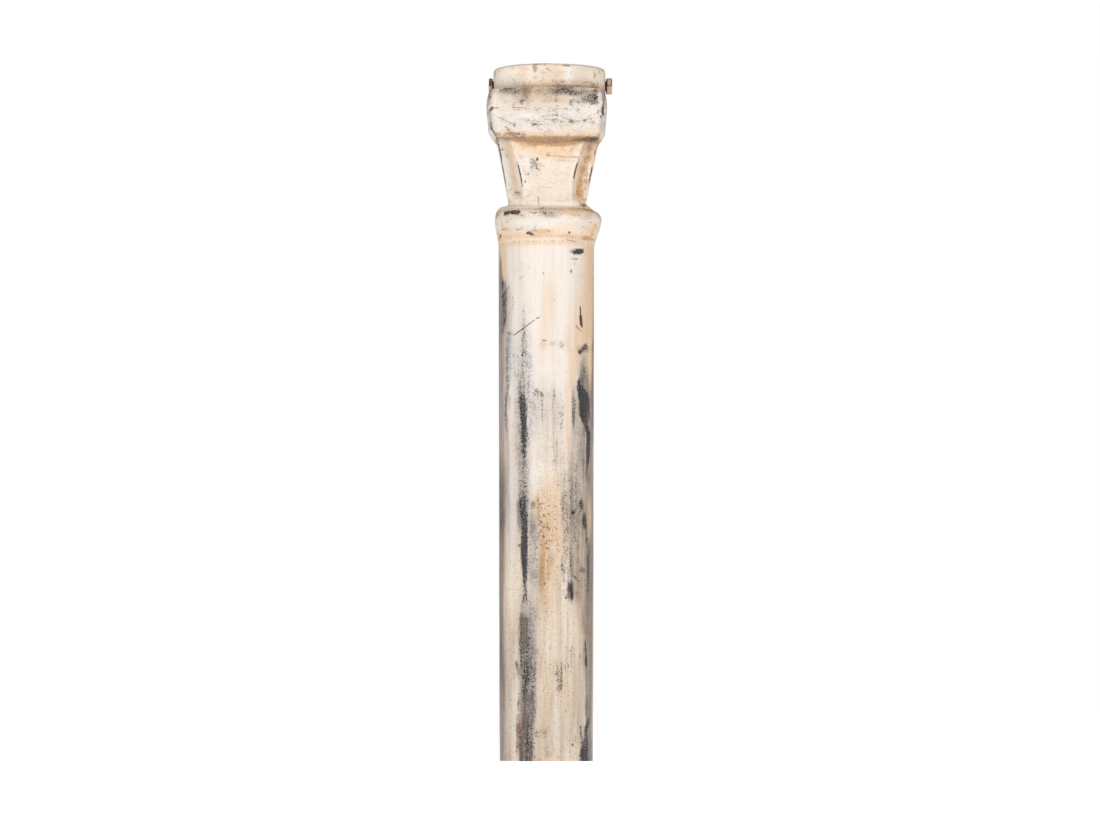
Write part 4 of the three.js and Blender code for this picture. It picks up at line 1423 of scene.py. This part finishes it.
class Finish:
    """The nodes of a material or of the world, which end in its surface."""

    def __init__(self, owner, output_kind="ShaderNodeOutputMaterial"):
        owner.use_nodes = True
        self.tree = owner.node_tree
        self.tree.nodes.clear()
        self.surface = self.tree.nodes.new(output_kind).inputs["Surface"]

    def node(self, kind, settings, inputs, output=0):
        """A node of a kind: settings first, then the values or links of its sockets."""
        made = self.tree.nodes.new(kind)
        for name, value in settings.items():
            setattr(made, name, value)
        for key, value in inputs.items():
            self.feed(made.inputs[key], value)
        return Value(self, made.outputs[output])

    def feed(self, socket, value):
        if isinstance(value, Value):
            self.tree.links.new(value.socket, socket)
        else:
            socket.default_value = value

    def shade(self, inputs):
        """Ends the material in a shader with these inputs."""
        self.feed(self.surface, self.node("ShaderNodeBsdfPrincipled", {}, inputs))

    def bump(self, strength, distance, height):
        inputs = {"Strength": strength, "Distance": distance * MM, "Height": height}
        return self.node("ShaderNodeBump", {}, inputs)

    def math(self, operation, first, second, clamp=False):
        settings = {"operation": operation, "use_clamp": clamp}
        return self.node("ShaderNodeMath", settings, {0: first, 1: second})

    def clamped(self, value):
        return self.math("ADD", value, 0.0, clamp=True)

    def blend(self, first, second, part):
        return self.node("ShaderNodeMix", {"data_type": "FLOAT"}, {0: part, 2: first, 3: second})

    def place(self):
        return self.node("ShaderNodeTexCoord", {}, {}, "Object")

    def layer(self, name):
        """A stain's cover at each point of the mesh."""
        settings = {"attribute_type": "GEOMETRY", "attribute_name": name}
        return self.node("ShaderNodeAttribute", settings, {}, "Fac")

    def grain(self, place, size, stretch=1.0, detail=2.0, offset=0.0):
        """Noise about 0, mostly within 1. Size is in millimetres, and it may be drawn out upwards."""
        mapping = {"Vector": place, "Location": (offset,) * 3, "Scale": (1.0, 1.0, 1.0 / stretch)}
        scaled = self.node("ShaderNodeMapping", {}, mapping)
        inputs = {"Vector": scaled, "Scale": 1 / (size * MM), "Detail": detail, "Roughness": 0.55}
        return (self.node("ShaderNodeTexNoise", {}, inputs) - 0.5) * 4.0

    def step(self, value, low, high):
        """A smooth step from 0 at the low value to 1 at the high one."""
        settings = {"interpolation_type": "SMOOTHSTEP"}
        inputs = {"Value": value, "From Min": low, "From Max": high}
        return self.node("ShaderNodeMapRange", settings, inputs)

    def speckled(self, amount, dots, softness):
        """An amount from 0 to 1 broken into specks that cover as much, held against an even spread."""
        return self.step(amount * (1 + 2 * softness) - dots, 0.0, 2 * softness)

    def tint(self, colour, over, cover):
        """A colour laid over another, as far as it covers."""
        settings = {"data_type": "RGBA", "clamp_factor": True}
        return self.node("ShaderNodeMix", settings, {0: cover, 6: over, 7: colour}, 2)

    def coated(self, colour, *coats):
        """Coats laid over a colour in turn, each a colour as it is seen and how far it covers."""
        for shade, cover in coats:
            colour = self.tint(seen(*shade), colour, cover)
        return colour

    def vector(self, operation, inputs, output=0):
        return self.node("ShaderNodeVectorMath", {"operation": operation}, inputs, output)

    def scratch(self, flat_place, start, end, radius, ragged):
        """A line on the front from start to end, each a place across and a height in millimetres."""
        start = Vector((start[0], 0, start[1])) * MM
        run = Vector((end[0], 0, end[1])) * MM - start
        from_start = self.vector("SUBTRACT", {0: flat_place, 1: tuple(start)})
        along = self.vector("DOT_PRODUCT", {0: from_start, 1: tuple(run / run.length_squared)}, 1)
        nearest = self.vector("SCALE", {0: tuple(run), "Scale": self.clamped(along)})
        distance = self.vector("DISTANCE", {0: from_start, 1: nearest}, 1) + ragged * (0.18 * MM)
        return 1.0 - self.step(distance, radius * 0.45 * MM, radius * 1.35 * MM)


def srgb(red, green, blue):
    """A colour from its display values of 0 to 255, all of them above 10."""
    return tuple(((value / 255 + 0.055) / 1.055) ** 2.4 for value in (red, green, blue)) + (1.0,)


# The light on a face turned to the viewer, so that a colour comes out as it is named here
LIGHT_LEVEL = 1.2


def seen(red, green, blue):
    """A paint that shows as this colour, in display values, in the studio's light."""
    return tuple(channel / LIGHT_LEVEL for channel in srgb(red, green, blue)[:3]) + (1.0,)


# Painted light: the palest paint, laid where sides of the head and shaft are painted as bright as the
# front
PAINTED_LIGHT_COLOUR = srgb(251, 240, 224)

# The heights between which the shaft's paint grows worse, and where the head's begins, in metres
WORSE_PAINT = (0.52, 0.2)
HEAD_PAINT = (0.641, 0.652)

# Scratches and dots of the shaft's front: start, end, half width and strength
SHAFT_SCRATCHES = [
    ((-39.8, 527.5), (-26, 536.8), 0.8, 0.85),
    ((-26, 536.8), (-14.5, 545.4), 0.6, 0.85),
    ((-12, 547.4), (-9, 548.2), 0.9, 0.75),
    ((-33, 597), (-28.4, 600.4), 0.5, 0.45),
    ((-49, 531.5), (-42, 528.6), 0.7, 0.5),
    ((-53.5, 579), (-46.5, 588), 0.7, 0.6),
    ((-56, 577), (-49, 581), 0.6, 0.5),
    ((-4.0, 603.2), (-3.4, 603.2), 0.9, 0.7),
    ((9.5, 569.8), (9.9, 569.8), 0.8, 0.4),
    ((42.2, 562.5), (42.6, 549), 1.0, 0.9),
    ((42.6, 551), (43.4, 541), 1.9, 0.97),
    ((44.0, 541), (44.2, 538), 1.2, 0.9),
    ((36.8, 539.2), (39.6, 535.6), 0.8, 0.7),
    ((39.6, 535.6), (43.6, 532.4), 0.6, 0.6),
    ((33.0, 306.8), (33.8, 307.4), 2.4, 1.0),
    ((20.0, 310.5), (20.9, 313.2), 1.0, 0.85),
    ((11, 313.5), (11.4, 314.6), 0.8, 0.6),
    ((-5.2, 288.8), (4.5, 287.6), 0.6, 0.6),
    ((11.5, 287.6), (14, 287.2), 0.6, 0.5),
    ((34.8, 228), (36.9, 225.6), 1.1, 0.8),
    ((39.3, 223.4), (39.8, 222.8), 1.0, 0.7),
    ((-33.5, 267), (-33.2, 265.8), 1.8, 0.7),
    ((-12.0, 263.6), (-11.8, 263.2), 1.2, 0.7),
    ((32.2, 20), (32.5, 21), 1.4, 0.75),
    ((-49, 212.5), (-34, 211.6), 0.4, 0.35),
    ((-3.6, 520.2), (0.4, 519.4), 0.8, 0.5),
]

# Fine brown cracks in the paint of the head's front
HEAD_CRACKS = [
    ((-42, 807.8), (-31, 808), 0.6, 0.6),
    ((-31, 808), (-20, 805.8), 0.5, 0.5),
    ((-61, 796.5), (-52, 793), 0.5, 0.5),
    ((-52, 793), (-44, 788.8), 0.6, 0.6),
    ((-44, 788.8), (-38.5, 785), 0.7, 0.7),
    ((2, 808), (12, 803.6), 0.6, 0.35),
    ((22, 794.8), (28, 792.4), 0.6, 0.6),
    ((28, 792.4), (33, 790), 0.7, 0.65),
    ((-2, 793.4), (14, 791.6), 0.6, 0.45),
    ((-53, 773.6), (-47, 776.6), 0.8, 0.7),
    ((-38, 775), (-33, 776.8), 0.8, 0.7),
    ((-33, 771.5), (-26, 773.6), 0.8, 0.6),
    ((-48.6, 780.8), (-45.6, 779.2), 0.8, 0.8),
    ((3, 749.6), (22, 748.2), 0.5, 0.6),
    ((22, 748.2), (40, 747.4), 0.5, 0.6),
    ((8, 744.2), (34, 742.6), 0.4, 0.3),
    ((-4, 711.2), (6, 710.4), 0.4, 0.4),
    ((-9.6, 699), (-9.8, 690), 0.8, 0.55),
    ((60, 850), (60.6, 854), 0.5, 0.7),
    ((60.6, 854), (58.4, 855.6), 0.5, 0.5),
    ((-62, 777), (-58.5, 776.8), 0.9, 0.8),
    ((24, 645.4), (36, 643.6), 0.8, 0.6),
    ((2, 656.6), (4.6, 654.2), 0.6, 0.6),
]


def line_marks(finish, flat_place, marks, ragged):
    """The cover of a list of lines on the front, each with a start, an end, half width and strength."""
    cover = 0.0
    for start, end, radius, strength in marks:
        line = finish.scratch(flat_place, start, end, radius, ragged) * strength
        cover = finish.math("MAXIMUM", cover, line)
    return cover


def painted_iron():
    """Old cream paint over black iron, chipped, rubbed and stained."""
    material = bpy.data.materials.new("painted_iron")
    finish = Finish(material)
    place = finish.place()
    up = finish.node("ShaderNodeSeparateXYZ", {}, {0: place}, 2)
    low = finish.step(up, *WORSE_PAINT)
    head = finish.step(up, *HEAD_PAINT)

    # Grain is drawn out upwards on the shaft, and along the brush strokes on the head
    speck = finish.grain(place, 2.5, detail=1.5)
    fine = finish.grain(place, 1.5, detail=1.0, offset=3.1)
    shaft_strand = finish.grain(place, 2.6, stretch=18, offset=5.3)
    head_strand = finish.grain(place, 7.0, stretch=0.2, offset=5.3)
    strand = finish.blend(shaft_strand, head_strand, head)
    shaft_band = finish.grain(place, 7.0, stretch=20, offset=7.7)
    head_band = finish.grain(place, 22.0, stretch=0.4, offset=7.7)
    band = finish.blend(shaft_band, head_band, head)
    mottle = finish.grain(place, 10.0, detail=3.0, offset=1.9)
    drift = finish.grain(place, 42.0, detail=1.0, offset=9.2)
    worn, haze, grime, dirt_and_shade, ochre_and_shadow, tan, rust_and_shade, chalk_and_highlight, light, mauve_and_edge_shade = map(finish.layer, KINDS)

    # Even spreads from 0 to 1, which a stain's cover is held against, so that it breaks into specks
    dots = finish.step(speck * 0.45 + fine * 0.5 + mottle * 0.22 + strand * 0.35, -1.05, 1.05)
    drawn_dots = finish.step(speck * 0.4 + fine * 0.5 + strand * 0.6, -1.1, 1.1)
    blots = finish.step(speck * 0.5 + mottle * 0.7, -1.0, 1.0)

    worn_cover = finish.speckled(worn * (0.93 + mottle * 0.12), dots, 0.2) * 0.94
    haze_cover = finish.speckled(haze * (0.8 + mottle * 0.2 + strand * 0.2), drawn_dots, 0.34) * 0.74
    grime_cover = finish.speckled(grime * (1.0 + mottle * 0.2 + band * 0.15), drawn_dots, 0.3) * 0.9
    rust_and_shade_cover = finish.speckled(rust_and_shade, blots, 0.45)

    # Paint that grows warmer, dirtier and more streaked towards the foot, and the stains on it. The tan
    # and ochre coats are also painted shade and shadow, and chalk is in places a painted highlight
    cream = finish.tint(seen(238, 220, 198), seen(247, 237, 227), 0.12 + head * 0.4 + band * 0.3)
    colour = finish.tint(seen(228, 204, 176), cream, low * (0.62 + band * 0.5))
    colour = finish.coated(
        colour,
        ((200, 186, 176), (0.12 + low * 0.42) * (strand * 0.8 + band * 0.6)),
        ((222, 198, 168), drift * 0.14 + mottle * (0.08 + low * 0.12)),
        ((240, 202, 162), tan * (0.88 + band * 0.2 + mottle * 0.1)),
        ((204, 162, 116), finish.speckled(ochre_and_shadow * (0.95 + band * 0.45 + strand * 0.4), drawn_dots, 0.5)),
        ((243, 239, 236), chalk_and_highlight * (0.85 + mottle * 0.3)),
    )
    # Painted light: the palest paint, where the light layer lies
    colour = finish.tint(PAINTED_LIGHT_COLOUR, colour, light)
    # Mauve, dirt and rust are also painted shade and shadow, down the edges and under the collar and
    # bead
    colour = finish.coated(
        colour,
        ((146, 126, 119), mauve_and_edge_shade * (0.9 + strand * 0.25 + fine * 0.12)),
        ((108, 90, 74), dirt_and_shade * (0.74 + band * 0.26 + mottle * 0.12 + fine * 0.26 + strand * 0.34)),
        ((176, 173, 176), haze * (0.5 - head * 0.3)),
        ((112, 110, 116), haze_cover),
        ((190, 124, 80), rust_and_shade_cover),
        ((104, 90, 76), grime_cover),
        ((128, 92, 56), finish.speckled(ochre_and_shadow * 0.56, dots, 0.12) * (0.9 - head * 0.6)),
        ((82, 68, 58), finish.speckled(dirt_and_shade * 0.6, dots, 0.15) * (0.15 + head * 0.6)),
        ((104, 101, 103), finish.step(worn, 0.08, 0.8) * 0.6),
    )
    iron = finish.tint(seen(100, 96, 95), seen(34, 33, 36), finish.step(fine + strand * 0.5, -0.2, 1.1))
    colour = finish.tint(iron, colour, worn_cover)
    dust_dots = finish.step(speck * 0.55 + fine * 0.75, 0.55, 1.15) * (0.2 + low * 0.7 + head * 0.3)
    dust_shade = (speck + fine * 1.4 + strand * 0.6) * (0.05 + low * 0.1 + head * 0.03)

    # Cuts and cracks are only on the front. Crazing wanders over all the head's paint
    flat_place = finish.vector("MULTIPLY", {0: place, 1: (1.0, 0.0, 1.0)})
    front = finish.math("LESS_THAN", finish.node("ShaderNodeSeparateXYZ", {}, {0: place}, 1), -0.01)
    cuts = line_marks(finish, flat_place, SHAFT_SCRATCHES, fine) * front
    ridge = finish.math("ABSOLUTE", finish.grain(place, 13.0, detail=3.0, offset=4.4), 0.0)
    crazing = (1.0 - finish.step(ridge, 0.02, 0.15)) * finish.step(mottle + drift, -0.3, 1.0)
    colour = finish.coated(
        colour,
        ((118, 100, 86), dust_dots + dust_shade),
        ((250, 246, 240), finish.step(fine * 0.7 - speck * 0.5, 0.7, 1.4) * 0.3),
        ((140, 98, 62), line_marks(finish, flat_place, HEAD_CRACKS, fine) * front),
        ((48, 40, 34), cuts),
        ((150, 116, 88), crazing * (head * 0.55 + 0.05)),
    )

    bare = finish.math("MAXIMUM", worn_cover, cuts)
    height = mottle * 0.05 + band * 0.03 + strand * 0.02 + speck * 0.03 - worn_cover * 0.25
    finish.shade({
        "Base Color": colour,
        "Roughness": 0.36 + bare * 0.16 + grime_cover * 0.12 + rust_and_shade_cover * 0.2 + mottle * 0.03,
        "Specular IOR Level": 0.4,
        "Normal": finish.bump(0.5, 0.6, height),
    })
    return material


def rusty_iron():
    """Dark rusty iron, with bright rust and pale flaking on the facets."""
    material = bpy.data.materials.new("bolt_iron")
    finish = Finish(material)
    place = finish.place()
    speck = finish.grain(place, 1.8, detail=2.0)
    mottle = finish.grain(place, 5.0, detail=3.0, offset=2.7)
    bright = finish.step(finish.layer("bright") + speck * 0.25 + mottle * 0.3, 0.2, 0.9)
    pits = finish.step(speck * 0.7 + mottle * 0.6, 0.5, 1.2)
    colour = finish.coated(
        seen(92, 70, 60),
        ((128, 88, 66), finish.step(mottle, -0.6, 0.8)),
        ((228, 178, 150), bright),
        ((186, 108, 68), finish.step(mottle + speck * 0.3, 0.2, 1.0) * bright),
        ((212, 200, 184), finish.step(finish.layer("pale") + speck * 0.15 + mottle * 0.1, 0.35, 0.75)),
        ((84, 56, 42), pits * 0.7),
        # Dirt and painted shadow: near black at the head's foot, by the rim
        ((28, 22, 20), finish.layer("gap_shadow_and_dirt")),
    )
    finish.shade({
        "Base Color": colour,
        "Roughness": 0.72 + pits * 0.15,
        "Specular IOR Level": 0.3,
        "Normal": finish.bump(0.6, 0.5, mottle * 0.4 + speck * 0.3 - pits * 0.4),
    })
    return material


def make_camera():
    data = bpy.data.cameras.new("camera")
    data.sensor_width = SENSOR_WIDTH
    data.lens = CAMERA_LENS
    data.clip_start, data.clip_end = CAMERA_CLIP
    camera = bpy.data.objects.new("camera", data)
    camera.location = Vector((CAMERA_SIDE, -CAMERA_DISTANCE, CAMERA_HEIGHT)) * MM
    camera.rotation_euler = (math.pi / 2 + CAMERA_PITCH, 0, 0)
    bpy.context.scene.collection.objects.link(camera)
    bpy.context.scene.camera = camera


def make_softbox(name, azimuth):
    """A soft light that faces the upper half of the column. Azimuth 0 is the camera's side."""
    data = bpy.data.lights.new(name, "AREA")
    data.shape = "RECTANGLE"
    data.size = SOFTBOX_WIDTH
    data.size_y = SOFTBOX_TALL
    data.energy = SOFTBOX_POWER
    light = bpy.data.objects.new(name, data)
    angle = math.radians(azimuth)
    aside = SOFTBOX_DISTANCE * math.sin(angle)
    light.location = (aside, -SOFTBOX_DISTANCE * math.cos(angle), SOFTBOX_HEIGHT)
    target = Vector((0, 0, SOFTBOX_TARGET))
    light.rotation_euler = (target - light.location).to_track_quat("-Z", "Y").to_euler()
    bpy.context.scene.collection.objects.link(light)


def make_world():
    """White behind the object, and a softer warm grey for what lights it and shows in its gloss."""
    world = bpy.data.worlds.new("studio")
    bpy.context.scene.world = world
    studio = Finish(world, "ShaderNodeOutputWorld")
    behind = studio.node("ShaderNodeBackground", {}, {"Color": WHITE})
    around = {"Color": WORLD_WARMTH, "Strength": WORLD_STRENGTH}
    lighting = studio.node("ShaderNodeBackground", {}, around)
    to_camera = studio.node("ShaderNodeLightPath", {}, {}, "Is Camera Ray")
    blend = studio.node("ShaderNodeMixShader", {}, {0: to_camera, 1: lighting, 2: behind})
    studio.feed(studio.surface, blend)


def make_floor():
    """A white floor that glows a little, so that it reads as white as what is behind it."""
    material = bpy.data.materials.new("floor_white")
    Finish(material).shade({
        "Base Color": (0.6, 0.6, 0.6, 1),
        "Roughness": 1.0,
        "Specular IOR Level": 0.0,
        "Emission Color": WHITE,
        "Emission Strength": FLOOR_GLOW,
    })
    bm = bmesh.new()
    bmesh.ops.create_grid(bm, x_segments=1, y_segments=1, size=FLOOR_REACH)
    floor = finished_object("floor", bm, CASTING_CREASE)
    floor.data.materials.append(material)


make_camera()
make_world()
make_floor()
make_softbox("softbox_left", -SOFTBOX_AZIMUTH)
make_softbox("softbox_right", SOFTBOX_AZIMUTH)

bpy.context.scene.view_settings.view_transform = "Standard"

column = make_column()
column.data.materials.append(painted_iron())
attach(column, "root")
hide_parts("column")

bolt_finish = rusty_iron()
for bolt, node in (
    (make_bolt("left_bolt", LEFT_BOLT_HEAD, -1, 0.3), "bolt_left"),
    (make_bolt("right_bolt", RIGHT_BOLT_HEAD, 1, 1.0), "bolt_right"),
):
    bolt.data.materials.append(bolt_finish)
    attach(bolt, "root")
    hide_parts(node)
